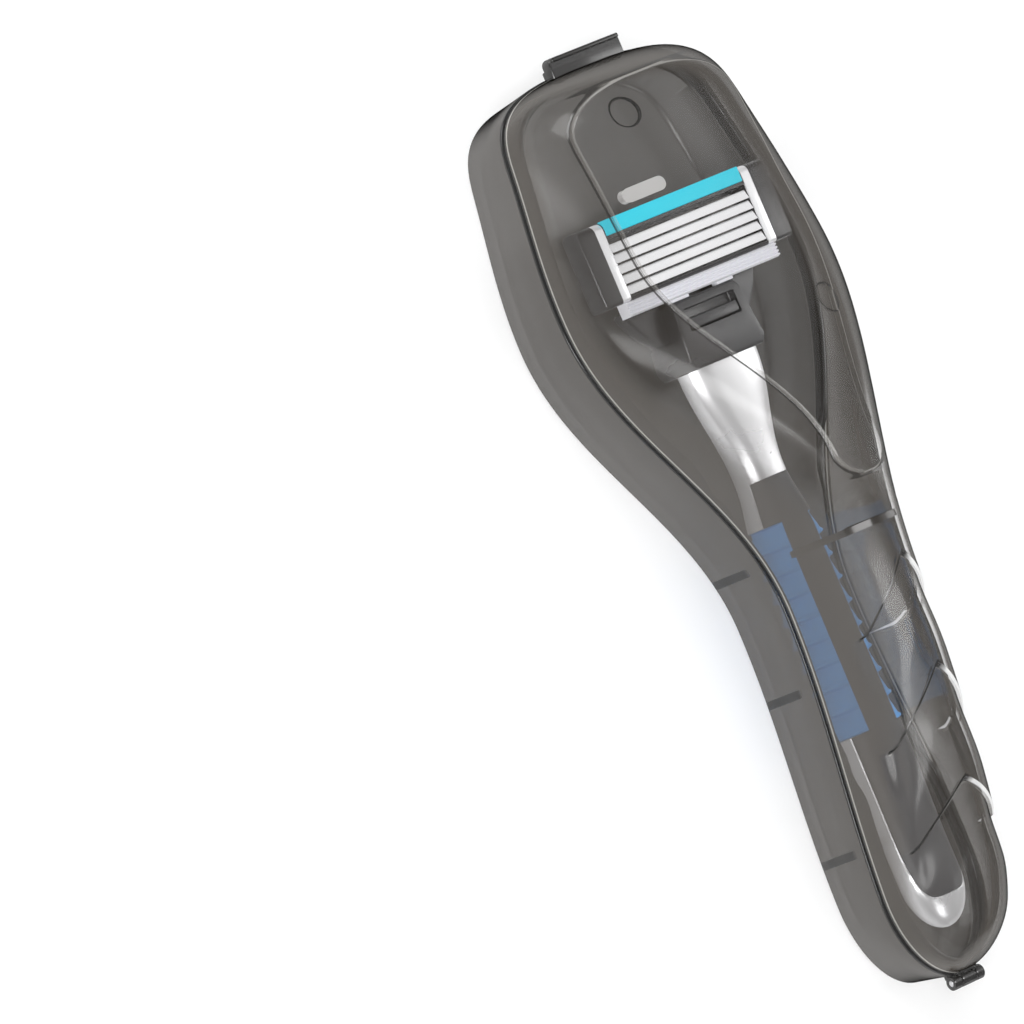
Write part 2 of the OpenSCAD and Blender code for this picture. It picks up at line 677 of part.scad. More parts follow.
module right_grip() {
    color(rubber_blue) grip();
}
module left_grip() {
    color(rubber_blue) mirror([1, 0, 0]) grip();
}

// Cartridge places, all from its centre station and its face
cart_y = at_y(cart_at);
guard_l = 2.6;
frame_head_y = cart_y + cart_l / 2;
frame_tail_y = cart_y - cart_l / 2 + guard_l;
guard_tail_y = cart_y - cart_l / 2;
frame_back_z = cart_face_z - cart_t;
pivot_y = guard_tail_y + 3.8;
lug_r = journal_d / 2 + 0.9;
hub_r = journal_d / 2 + 0.6;
pivot_z = frame_back_z - pivot_gap - hub_r;
lug_x = 8.7;
lug_w = 3;
finger_w = 3.6;
finger_t = 2;
finger_l = 3;
lug_root = 0.5;
plunger_z = pivot_z - 2.2;
plunger_tip_y = pivot_y - finger_t / 2 - pivot_gap;

// Yoke: a hub with two journals, and a plate with a rounded lobe on each side
yoke_w = 35;
yoke_l = 8;
yoke_front_y = pivot_y - lug_r - pivot_gap;
yoke_back_y = yoke_front_y - yoke_l;
lobe_t = 3.2;
lobe_centre = 6;
slot_back = 1.4;
yoke_top_z = frame_back_z - pivot_gap;
yoke_low_z = plunger_z - plunger_d / 2 - 0.8;
hub_w = 2 * (lug_x - pivot_gap);
finger_gap = 0.4;
module yoke() {
    color(black) difference() {
        union() {
            translate([0, 0, yoke_top_z - lobe_t]) linear_extrude(lobe_t) intersection() {
                translate([-yoke_w / 2, yoke_back_y]) square([yoke_w, yoke_front_y - yoke_back_y]);
                translate([0, yoke_front_y + lobe_centre]) circle(r = yoke_w / 2, $fn = 96);
            }
            translate([-hub_w / 2, yoke_back_y, yoke_low_z])
                cube([hub_w, yoke_front_y - yoke_back_y, yoke_top_z - yoke_low_z]);
            translate([-hub_w / 2, yoke_front_y - slot_back, pivot_z - hub_r])
                cube([hub_w, pivot_y - yoke_front_y + slot_back, 2 * hub_r]);
            translate([0, pivot_y, pivot_z]) {
                rod_x(-hub_w / 2, hub_w / 2, 2 * hub_r);
                rod_x(-lug_x - lug_w, lug_x + lug_w, journal_d);
            }
        }
        translate([-finger_w / 2 - finger_gap, yoke_front_y - slot_back, 0])
            cube([finger_w + 2 * finger_gap, 2 * yoke_l, 2 * pivot_z]);
        translate([0, case_l / 2, plunger_z]) rotate([90, 0, 0])
            cylinder(h = case_l, d = plunger_d + 2 * plunger_clear);
    }
}

// Collar: grips the yoke from above and behind, and holds the plunger's spring
collar_back_y = at_y(neck_at) + join;
collar_front_y = yoke_front_y - 1.6;
collar_top_z = handle_z(neck_at) + collar_t / 2 - 0.6;
collar_low_z = collar_top_z - collar_t;
spring_d = plunger_d + 1.6;
spring_l = 4.6;
collar_seat = 0.05;
button_h = 1.5;
button_rim = 0.4;
button_back_y = collar_front_y - 5.6;
recess_l = button_l + button_travel + 2 * button_gap;
module collar_plan() {
    polygon([
        [-collar_w / 2 + 1, collar_back_y], [collar_w / 2 - 1, collar_back_y],
        [collar_w / 2, collar_back_y + 1.6], [collar_front_w / 2, collar_front_y - 1],
        [collar_front_w / 2 - 1, collar_front_y], [-collar_front_w / 2 + 1, collar_front_y],
        [-collar_front_w / 2, collar_front_y - 1], [-collar_w / 2, collar_back_y + 1.6]
    ]);
}
module neck_collar() {
    color(black) difference() {
        translate([0, 0, collar_low_z]) linear_extrude(collar_t) collar_plan();
        translate([-yoke_w, yoke_back_y - collar_seat, collar_low_z - 1])
            cube([2 * yoke_w, yoke_w, yoke_top_z + collar_seat - collar_low_z + 1]);
        translate([-button_w / 2 - button_gap, button_back_y - button_gap,
            collar_top_z - button_h - button_gap])
            cube([button_w + 2 * button_gap, recess_l, 2 * button_h]);
        translate([0, yoke_back_y, plunger_z]) rotate([90, 0, 0]) cylinder(h = spring_l, d = spring_d);
    }
}
module release_button() {
    color(black) translate([-button_w / 2, button_back_y, collar_top_z - button_h]) {
        cube([button_w, button_l, button_h - button_rim]);
        translate([button_rim, button_rim, 0])
            cube([button_w - 2 * button_rim, button_l - 2 * button_rim, button_h]);
    }
}
plunger_head_l = 1;
plunger_head_gap = 0.3;
plunger_head_d = plunger_d + 0.8;
module return_plunger() {
    color(metal) translate([0, plunger_tip_y, plunger_z]) rotate([90, 0, 0]) {
        cylinder(h = plunger_tip_y - yoke_back_y + plunger_head_l, d = plunger_d);
        translate([0, 0, plunger_tip_y - yoke_back_y + plunger_head_gap])
            cylinder(h = plunger_head_l, d = plunger_head_d);
    }
}
// Coil behind the plunger, one tube swept along a helix
coil_wire = 0.4;
coil_gap = 0.3;
coil_turns = 3;
coil_steps = 12;
coil_sides = 6;
module plunger_spring() {
    r = (plunger_d + 0.4) / 2;
    y0 = yoke_back_y - plunger_head_gap - plunger_head_l - coil_gap - coil_wire / 2;
    len_y = y0 - (yoke_back_y - spring_l + coil_gap + coil_wire / 2);
    color(steel) loft([for (i = [coil_turns * coil_steps:-1:0]) let (
        a = 360 * i / coil_steps,
        y = y0 - len_y * i / (coil_turns * coil_steps)
    ) [for (j = [0:coil_sides - 1]) let (b = 360 * j / coil_sides, q = r + coil_wire / 2 * cos(b))
        [q * cos(a), y + coil_wire / 2 * sin(b), plunger_z + q * sin(a)]]]);
}

// Cartridge frame: a tray with a window for the blades, seats for the clips and the pivot's lugs
frame_r = 1.4;
window_l = 5 * blade_pitch + 0.9;
window_head_y = frame_tail_y + 0.7 + window_l;
window_floor = 1.2;
clip_gap = 0.2;
strip_seat = 1.2;
strip_y = window_head_y + 0.6;
clip_x = cart_w / 2 - end_wall - clip_w;
blade_l = 2 * (clip_x - clip_gap);
rinse_n = 4;
rinse_wall = 1.4;
function frame_profile(grow) = let (
    y0 = frame_tail_y - grow, y1 = frame_head_y + grow,
    z0 = frame_back_z - grow, z1 = cart_face_z + grow, r = frame_r + grow, n = 4
) concat(
    [for (i = [0:n]) [y1 - r + r * sin(90 * i / n), z1 - r + r * cos(90 * i / n)]],
    [for (i = [0:n]) [y1 - r + r * cos(90 * i / n), z0 + r - r * sin(90 * i / n)]],
    [for (i = [0:n]) [y0 + r / 2 - r / 2 * sin(90 * i / n), z0 + r / 2 - r / 2 * cos(90 * i / n)]],
    [for (i = [0:n]) [y0 + r / 2 - r / 2 * cos(90 * i / n), z1 - r / 2 + r / 2 * sin(90 * i / n)]]
);
module cartridge_frame() {
    color(black) difference() {
        union() {
            along_x(-cart_w / 2, cart_w / 2) polygon(frame_profile(0));
            for (side = [-1, 1]) {
                x = side > 0 ? lug_x : -lug_x - lug_w;
                translate([0, pivot_y, pivot_z]) rod_x(x, x + lug_w, 2 * lug_r);
                translate([x, pivot_y - lug_r, pivot_z])
                    cube([lug_w, 2 * lug_r, frame_back_z - pivot_z + lug_root]);
            }
            translate([-finger_w / 2, pivot_y - finger_t / 2, pivot_z - finger_l])
                cube([finger_w, finger_t, finger_l + frame_back_z - pivot_z + lug_root]);
        }
        translate([-clip_x, window_head_y - window_l, frame_back_z + window_floor])
            cube([2 * clip_x, window_l, cart_t]);
        translate([-blade_l / 2, strip_y, cart_face_z - strip_seat])
            cube([blade_l, strip_w + 2 * join, 2 * strip_seat]);
        for (i = [0:rinse_n - 1]) {
            w = (blade_l - (rinse_n - 1) * rinse_wall) / rinse_n;
            translate([-blade_l / 2 + i * (w + rinse_wall), pivot_y + lug_r + 0.6, 0])
                cube([w, window_head_y - pivot_y - lug_r - 1.2, cart_face_z]);
        }
        for (side = [-1, 1]) {
            x = side > 0 ? clip_x : -clip_x - clip_w;
            difference() {
                along_x(x - join, x + clip_w + join) polygon(frame_profile(2));
                along_x(x - 1, x + clip_w + 1) polygon(frame_profile(-clip_t));
            }
        }
        for (x = [-lug_x - lug_w, lug_x]) translate([0, pivot_y, pivot_z])
            rod_x(x - 1, x + lug_w + 1, journal_d + 2 * journal_clear);
    }
}
module lubricating_strip() {
    color(teal) translate([-blade_l / 2 + join, strip_y + join, cart_face_z - strip_seat + join])
        cube([blade_l - 2 * join, strip_w, strip_seat + 0.15]);
}
// Blade: a support leg with the bent cutting strip on it
blade_reach = 1.6;
blade_rise = 0.55;
module blade(i) {
    y = window_head_y - window_l + 0.35 + i * blade_pitch;
    z = cart_face_z - 0.1;
    foot_z = frame_back_z + window_floor + join;
    color(steel) along_x(-blade_l / 2, blade_l / 2) polygon([
        [y, z - blade_t], [y, z], [y + blade_reach, z - blade_rise],
        [y + blade_reach, foot_z], [y + blade_reach - blade_t, foot_z],
        [y + blade_reach - blade_t, z - blade_rise - 0.2]
    ]);
}
module blade_1() { blade(0); }
module blade_2() { blade(1); }
module blade_3() { blade(2); }
module blade_4() { blade(3); }
module blade_5() { blade(4); }

module clip() {
    color(metal) difference() {
        along_x(clip_x, clip_x + clip_w) polygon(frame_profile(0));
        along_x(clip_x - 1, clip_x + clip_w + 1) polygon(frame_profile(-clip_t));
        translate([0, frame_tail_y + 2.4, frame_back_z - 1])
            cube([cart_w, frame_head_y - frame_tail_y - 4.8, cart_t / 2]);
    }
}
module right_clip() { clip(); }
module left_clip() { mirror([1, 0, 0]) clip(); }

// Guard: a bar with fins along it, and two small tabs towards the collar
guard_w = 37;
fin_n = 4;
guard_drop = 3;
tab_foot_x = 5.5;
module finned_guard() {
    pitch = guard_l / fin_n;
    top = cart_face_z - 0.5;
    color([0.9, 0.9, 0.92]) {
        along_x(-guard_w / 2, guard_w / 2) polygon(concat(
            [[frame_tail_y - join, cart_face_z - guard_drop], [frame_tail_y - join, top]],
            [for (i = [0:fin_n - 1], f = [0.15, 0.5, 0.85, 1])
                [frame_tail_y - join - pitch * (i + f) * 0.98, f == 0.5 ? cart_face_z : f == 1 ? top - 0.2 : top]],
            [[guard_tail_y, cart_face_z - guard_drop]]
        ));
        for (x = [-tab_foot_x, tab_foot_x]) translate([x - 2, guard_tail_y - 0.5, cart_face_z - guard_drop])
            cube([4, 0.7, 1.6]);
    }
}

case_base();
case_lid();
hinge_pin();
handle_body();
handle_inlay();
left_grip();
right_grip();
neck_collar();
release_button();
return_plunger();
plunger_spring();
yoke();
cartridge_frame();
lubricating_strip();
blade_1();
blade_2();
blade_3();
blade_4();
blade_5();
left_clip();
right_clip();
finned_guard();
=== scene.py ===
import bpy, bmesh, math
from mathutils import Matrix, Vector


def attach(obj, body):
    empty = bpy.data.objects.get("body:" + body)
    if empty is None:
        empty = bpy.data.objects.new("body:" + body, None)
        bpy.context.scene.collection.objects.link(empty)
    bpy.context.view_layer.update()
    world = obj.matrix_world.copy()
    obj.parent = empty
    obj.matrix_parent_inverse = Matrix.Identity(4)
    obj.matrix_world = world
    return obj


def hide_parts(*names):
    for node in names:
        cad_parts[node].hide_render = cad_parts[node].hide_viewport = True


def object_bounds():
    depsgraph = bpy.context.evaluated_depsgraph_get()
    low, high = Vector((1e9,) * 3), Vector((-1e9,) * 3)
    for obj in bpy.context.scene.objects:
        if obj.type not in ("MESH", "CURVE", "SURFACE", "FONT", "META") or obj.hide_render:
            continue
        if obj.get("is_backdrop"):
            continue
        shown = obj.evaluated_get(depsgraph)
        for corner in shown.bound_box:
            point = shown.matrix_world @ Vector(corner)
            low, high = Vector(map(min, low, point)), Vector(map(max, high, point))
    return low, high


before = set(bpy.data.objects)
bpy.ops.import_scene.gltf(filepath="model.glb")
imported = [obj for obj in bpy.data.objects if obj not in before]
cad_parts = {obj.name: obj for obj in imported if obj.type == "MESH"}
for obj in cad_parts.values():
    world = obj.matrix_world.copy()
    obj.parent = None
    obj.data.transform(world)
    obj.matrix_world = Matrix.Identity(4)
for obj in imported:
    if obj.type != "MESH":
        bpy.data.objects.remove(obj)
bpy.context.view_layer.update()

scene = bpy.context.scene
print("frame loaded:", len(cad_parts), "nodes")

mm = 0.001
smallest = 1e-6  # welding distance in metres


# ---- curves shared by the case and the razor, in millimetres
def ease(u):
    return (1 - math.cos(math.pi * min(max(u, 0), 1))) / 2


def mix(a, b, u):
    return a + (b - a) * u


def between(t, a, b):  # how far t has come from a to b, eased
    return ease((t - a) / (b - a))


def smooth(low, high, value):
    u = min(max((value - low) / (high - low), 0), 1)
    return u * u * (3 - 2 * u)


def roundEnd(u, fullness):  # 0 at u = 0, full from u = 1 on
    if u >= 1:
        return 1.0
    return (1 - (1 - max(u, 0)) ** fullness) ** (1 / fullness)


def roundCos(angle, fullness):
    c = math.cos(math.radians(angle))
    return math.copysign(abs(c) ** (2 / fullness), c)


def roundSin(angle, fullness):
    s = math.sin(math.radians(angle))
    return math.copysign(abs(s) ** (2 / fullness), s)


case = {
    "length": 172.0, "headEndWidth": 48.8, "headWidth": 59.4, "waistWidth": 17.0, "tailWidth": 24.4,
    "headAt": 42.0, "waistAt": 102.0, "tailAt": 156.0,
    "headCap": 14.0, "headSquare": 3.1, "tailCap": 17.0, "tailRound": 2.0,
    "rimHeight": 12.0, "rimArch": 3.7, "rimGap": 0.3, "rimStep": 0.3,
}


def atY(t):
    return case["length"] / 2 - t


def sideWidth(t):
    c = case
    if t < c["headAt"]:
        return mix(c["headEndWidth"], c["headWidth"], between(t, 0, c["headAt"]))
    if t < c["waistAt"]:
        return mix(c["headWidth"], c["waistWidth"], between(t, c["headAt"], c["waistAt"]))
    return mix(c["waistWidth"], c["tailWidth"], between(t, c["waistAt"], c["tailAt"]))


def halfWidth(t, inset=0.0, endInset=None):
    ends = inset if endInset is None else endInset
    c = case
    return (sideWidth(t) / 2 - inset) * roundEnd((t - ends) / c["headCap"], c["headSquare"]) * roundEnd(
        (c["length"] - ends - t) / c["tailCap"], c["tailRound"])


def rimZ(t):
    return case["rimHeight"] + case["rimArch"] * (1 - ((2 * t - case["length"]) / case["length"]) ** 2)


# ---- mesh helpers
def gridMesh(bm, rows, columns, place):  # a grid whose corners go where place(row, column) says
    made = bmesh.ops.create_grid(bm, x_segments=rows, y_segments=columns, size=1)["verts"]
    for v in made:
        row, column = round((v.co.x + 1) / 2 * rows), round((v.co.y + 1) / 2 * columns)
        v.co = Vector(place(row, column)) * mm
    return made


def weld(bm):
    bmesh.ops.remove_doubles(bm, verts=bm.verts, dist=smallest)
    bmesh.ops.dissolve_degenerate(bm, edges=bm.edges, dist=smallest)
    bmesh.ops.recalc_face_normals(bm, faces=bm.faces)


def capEnds(bm):  # closes a tube of quads at its open rims
    bmesh.ops.remove_doubles(bm, verts=bm.verts, dist=smallest)
    bmesh.ops.holes_fill(bm, edges=[e for e in bm.edges if e.is_boundary], sides=0)


def roundEdges(bm, edges, width, segments=3):
    bmesh.ops.bevel(bm, geom=list(edges), offset=width * mm, offset_type="OFFSET", affect="EDGES",
                    segments=segments, profile=0.5, material=-1, clamp_overlap=True)


def box(bm, low, high, rounding=0.0, segments=3):
    made = bmesh.ops.create_cube(bm, size=1)["verts"]
    middle = (Vector(low) + Vector(high)) / 2 * mm
    size = (Vector(high) - Vector(low)) * mm
    for v in made:
        v.co = Vector((v.co.x * size.x, v.co.y * size.y, v.co.z * size.z)) + middle
    if rounding:
        roundEdges(bm, {e for v in made for e in v.link_edges}, rounding, segments)


def prism(bm, outline, low, high, axis="x", rounding=0.0, segments=2):
    # a closed outline pushed along an axis: (y, z) along x, or (x, y) along z
    def point(p, d):
        return Vector((d, p[0], p[1])) * mm if axis == "x" else Vector((p[0], p[1], d)) * mm
    face = bm.faces.new([bm.verts.new(point(p, low)) for p in outline])
    made = bmesh.ops.extrude_face_region(bm, geom=[face])["geom"]
    top = [g for g in made if isinstance(g, bmesh.types.BMVert)]
    bmesh.ops.translate(bm, verts=top, vec=point((0, 0), high - low))
    if rounding:
        ends = [e for v in list(face.verts) + top for e in v.link_edges]
        rim = {e for e in ends if e.calc_face_angle(0) > math.radians(40)}
        roundEdges(bm, rim, rounding, segments)


def turned(bm, profile, centre, steps=48):  # (x, radius) profile spun about the X axis through centre
    verts = [bm.verts.new(Vector((x, centre[1], centre[2] + r)) * mm) for x, r in profile]
    edges = [bm.edges.new((a, b)) for a, b in zip(verts, verts[1:])]
    if profile[0] != profile[-1] and profile[0][1] > 0:
        edges.append(bm.edges.new((verts[-1], verts[0])))
    bmesh.ops.spin(bm, geom=verts + edges, cent=Vector(centre) * mm, axis=(1, 0, 0),
                   angle=math.tau, steps=steps, use_merge=True)


def drum(bm, x0, x1, radius, centre):
    turned(bm, [(x0, 0), (x0, radius), (x1, radius), (x1, 0)], centre)


def sleeve(bm, x0, x1, inner, outer, centre, chamfer=0.15, steps=48):  # a drum with a bore and softened ends
    turned(bm, [(x0, inner), (x0, outer - chamfer), (x0 + chamfer, outer), (x1 - chamfer, outer),
                (x1, outer - chamfer), (x1, inner)], centre, steps)


def span(side, near, far):  # from near to far on one side, in rising order
    return sorted((side * near, side * far))


def piece(name, bm, body, material, replaced=(), sharpAngle=38):
    weld(bm)
    mesh = bpy.data.meshes.new(name)
    bm.to_mesh(mesh)
    bm.free()
    obj = bpy.data.objects.new(name, mesh)
    scene.collection.objects.link(obj)
    mesh.materials.append(material)
    finishShading(mesh, sharpAngle)
    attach(obj, body)
    if replaced:
        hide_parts(*replaced)
    return obj


def finishShading(mesh, sharpAngle):
    mesh.shade_smooth()
    mesh.set_sharp_from_angle(angle=math.radians(sharpAngle))


def carve(obj, cutter, sharpAngle=38, operation="DIFFERENCE"):  # cuts a bmesh's shape out of a piece, for good
    weld(cutter)
    tool = bpy.data.objects.new("cutter", bpy.data.meshes.new("cutter"))
    cutter.to_mesh(tool.data)
    cutter.free()
    scene.collection.objects.link(tool)
    modifier = obj.modifiers.new("carve", "BOOLEAN")
    modifier.operation, modifier.solver, modifier.object = operation, "EXACT", tool
    bpy.context.view_layer.update()
    evaluated = obj.evaluated_get(bpy.context.evaluated_depsgraph_get())
    carved = bpy.data.meshes.new_from_object(evaluated)
    obj.modifiers.clear()
    obj.data = carved
    finishShading(carved, sharpAngle)
    bpy.data.objects.remove(tool)


def cutBox(obj, low, high, rounding=0.0):
    cutter = bmesh.new()
    box(cutter, low, high, rounding)
    carve(obj, cutter)


# ---- materials
def newGroup(name, inputs, outputs):
    group = bpy.data.node_groups.new(name, "ShaderNodeTree")
    for label, kind, value in inputs:
        group.interface.new_socket(name=label, in_out="INPUT", socket_type=kind).default_value = value
    for label, kind in outputs:
        group.interface.new_socket(name=label, in_out="OUTPUT", socket_type=kind)
    return group, group.nodes.new("NodeGroupInput"), group.nodes.new("NodeGroupOutput")


def fill(tree, socket, value):  # with a number, a colour or another node's output
    if isinstance(value, bpy.types.NodeSocket):
        tree.links.new(value, socket)
    else:
        socket.default_value = value


def combine(tree, operation, first, second=0.0):  # one Math node
    made = tree.nodes.new("ShaderNodeMath")
    made.operation = operation
    fill(tree, made.inputs[0], first)
    fill(tree, made.inputs[1], second)
    return made.outputs[0]


def ramp(tree, value, start, end, low=0.0, high=1.0):  # low up to start, high from end on
    made = tree.nodes.new("ShaderNodeMapRange")
    made.interpolation_type = "SMOOTHSTEP"
    for label, number in (("Value", value), ("From Min", start), ("From Max", end),
                          ("To Min", low), ("To Max", high)):
        fill(tree, made.inputs[label], number)
    return made.outputs["Result"]


def stripe(tree, value, middle, halfWide, soft=0.08):  # 1 within halfWide of the middle
    away = combine(tree, "ABSOLUTE", combine(tree, "SUBTRACT", value, middle))
    return ramp(tree, away, halfWide, halfWide + soft, 1.0, 0.0)


def layered(tree, under, over, mask):  # a colour laid over another where the mask is 1
    made = tree.nodes.new("ShaderNodeMix")
    made.data_type = "RGBA"
    for label, value in (("Factor", mask), ("A", under), ("B", over)):
        fill(tree, made.inputs[label], value)
    return made.outputs["Result"]


def noise(tree, scale, detail):
    place, made = tree.nodes.new("ShaderNodeTexCoord"), tree.nodes.new("ShaderNodeTexNoise")
    tree.links.new(place.outputs["Object"], made.inputs["Vector"])
    fill(tree, made.inputs["Scale"], scale)
    made.inputs["Detail"].default_value = detail
    return made.outputs["Fac"]


def split(tree, vector):  # X, Y and Z as outputs
    made = tree.nodes.new("ShaderNodeSeparateXYZ")
    tree.links.new(vector, made.inputs[0])
    return made.outputs


def measured(tree, name):  # a distance kept on the mesh, in millimetres
    made = tree.nodes.new("ShaderNodeAttribute")
    made.attribute_name = name
    return made.outputs["Fac"]


def ringDistance(tree, x, y):  # from a point on the lid, seen from above, in millimetres
    place, flat, far = (tree.nodes.new("ShaderNode" + kind)
                        for kind in ("TexCoord", "VectorMath", "VectorMath"))
    flat.operation, far.operation = "MULTIPLY", "DISTANCE"
    flat.inputs[1].default_value = (1 / mm, 1 / mm, 0)
    far.inputs[1].default_value = (x, y, 0)
    tree.links.new(place.outputs["Object"], flat.inputs[0])
    tree.links.new(flat.outputs[0], far.inputs[0])
    return far.outputs["Value"]


def makeGrain():  # fine moulding grain: a value for roughness and a height for bump
    tree, given, out = newGroup("mouldedGrain", [
        ("Scale", "NodeSocketFloat", 900.0), ("Roughness", "NodeSocketFloat", 0.4),
        ("Variation", "NodeSocketFloat", 0.1)],
        [("Roughness", "NodeSocketFloat"), ("Height", "NodeSocketFloat")])
    broad = combine(tree, "SUBTRACT", noise(tree, 60.0, 4.0), 0.5)
    spread = combine(tree, "MULTIPLY", broad, given.outputs["Variation"])
    tree.links.new(combine(tree, "ADD", spread, given.outputs["Roughness"]), out.inputs["Roughness"])
    tree.links.new(noise(tree, given.outputs["Scale"], 3.0), out.inputs["Height"])
    return tree


def makeTint():  # a slow drift between two colours
    tree, given, out = newGroup("slowTint", [
        ("Light", "NodeSocketColor", (1, 1, 1, 1)), ("Dark", "NodeSocketColor", (0, 0, 0, 1)),
        ("Scale", "NodeSocketFloat", 40.0)], [("Color", "NodeSocketColor")])
    drift = noise(tree, given.outputs["Scale"], 5.0)
    tree.links.new(layered(tree, given.outputs["Dark"], given.outputs["Light"], drift), out.inputs["Color"])
    return tree


grain, tint, slotOf = makeGrain(), makeTint(), {}


def placed(tree, group, values):  # a node group with this material's own values
    made = tree.nodes.new("ShaderNodeGroup")
    made.node_tree = group
    for label, value in values.items():
        made.inputs[label].default_value = value
    return made.outputs


def finish(name, slot, light, dark, roughness, variation=0.08, metallic=0.0, grainScale=900.0, bump=0.02,
           specular=0.5):
    material = bpy.data.materials.new(name)
    material.use_nodes = True
    slotOf[name] = slot
    tree = material.node_tree
    shader = tree.nodes["Principled BSDF"]
    shader.inputs["Metallic"].default_value = metallic
    shader.inputs["Specular IOR Level"].default_value = specular
    colour = placed(tree, tint, {"Light": (*light, 1), "Dark": (*dark, 1)})
    tree.links.new(colour["Color"], shader.inputs["Base Color"])
    surface = placed(tree, grain, {"Scale": grainScale, "Roughness": roughness, "Variation": variation})
    tree.links.new(surface["Roughness"], shader.inputs["Roughness"])
    relief = tree.nodes.new("ShaderNodeBump")
    relief.inputs["Strength"].default_value = bump
    relief.inputs["Distance"].default_value = 0.0003
    tree.links.new(surface["Height"], relief.inputs["Height"])
    tree.links.new(relief.outputs["Normal"], shader.inputs["Normal"])
    return material


# the near-black colour covers walls seen edgeways and the seams, and is painted shade along the panel's edge,
# the chevron steps, the dimple rings and the ribs behind the base wall; the glint and crescent colours are
# painted highlights
smoke = {
    "darkEdgeAndShade": (0.004, 0.0036, 0.0032, 1), "glint": (0.34, 0.33, 0.31, 1), "crescentHighlight": (0.8, 0.8, 0.8, 1),
    "edgeFrom": 0.55, "edgeTo": 0.95, "edgeAlpha": 0.985, "denseFrom": 0.28, "denseTo": 0.6, "denseShare": 0.92,
    "coatIor": 1.6, "coatRoughness": 0.17, "coatFrom": 0.45, "coatTo": 0.9, "lampShare": 0.3,
    "panelAlpha": 0.14, "uprightFrom": 0.62, "uprightTo": 0.12, "glintCover": 0.75, "crescentHighlightCover": 0.9,
    "panelEdgeShade": (-0.42, 0.13, 0.75), "panelGlint": (0.05, 0.14, 0.6), "ringShade": (0.14, 0.9),
    "stepShade": (0.45, 0.85, 0.97, 0.0), "stepSide": (0.0, 0.002, 1.0, 0.15),
    "stepGlint": (0.08, 0.28, 0.4, 0.0),
    "crescentHighlightLine": (0.15, 0.4, 1.0, 0.0), "crescentHighlightSide": (0.0004, 0.002),
    "floorUpTo": 0.0018, "wallFrom": 0.0036, "ribHalf": 0.0006, "ribSoft": 0.0003, "ribTop": (0.0102, 0.0118),
    "ribShade": 0.85,
}


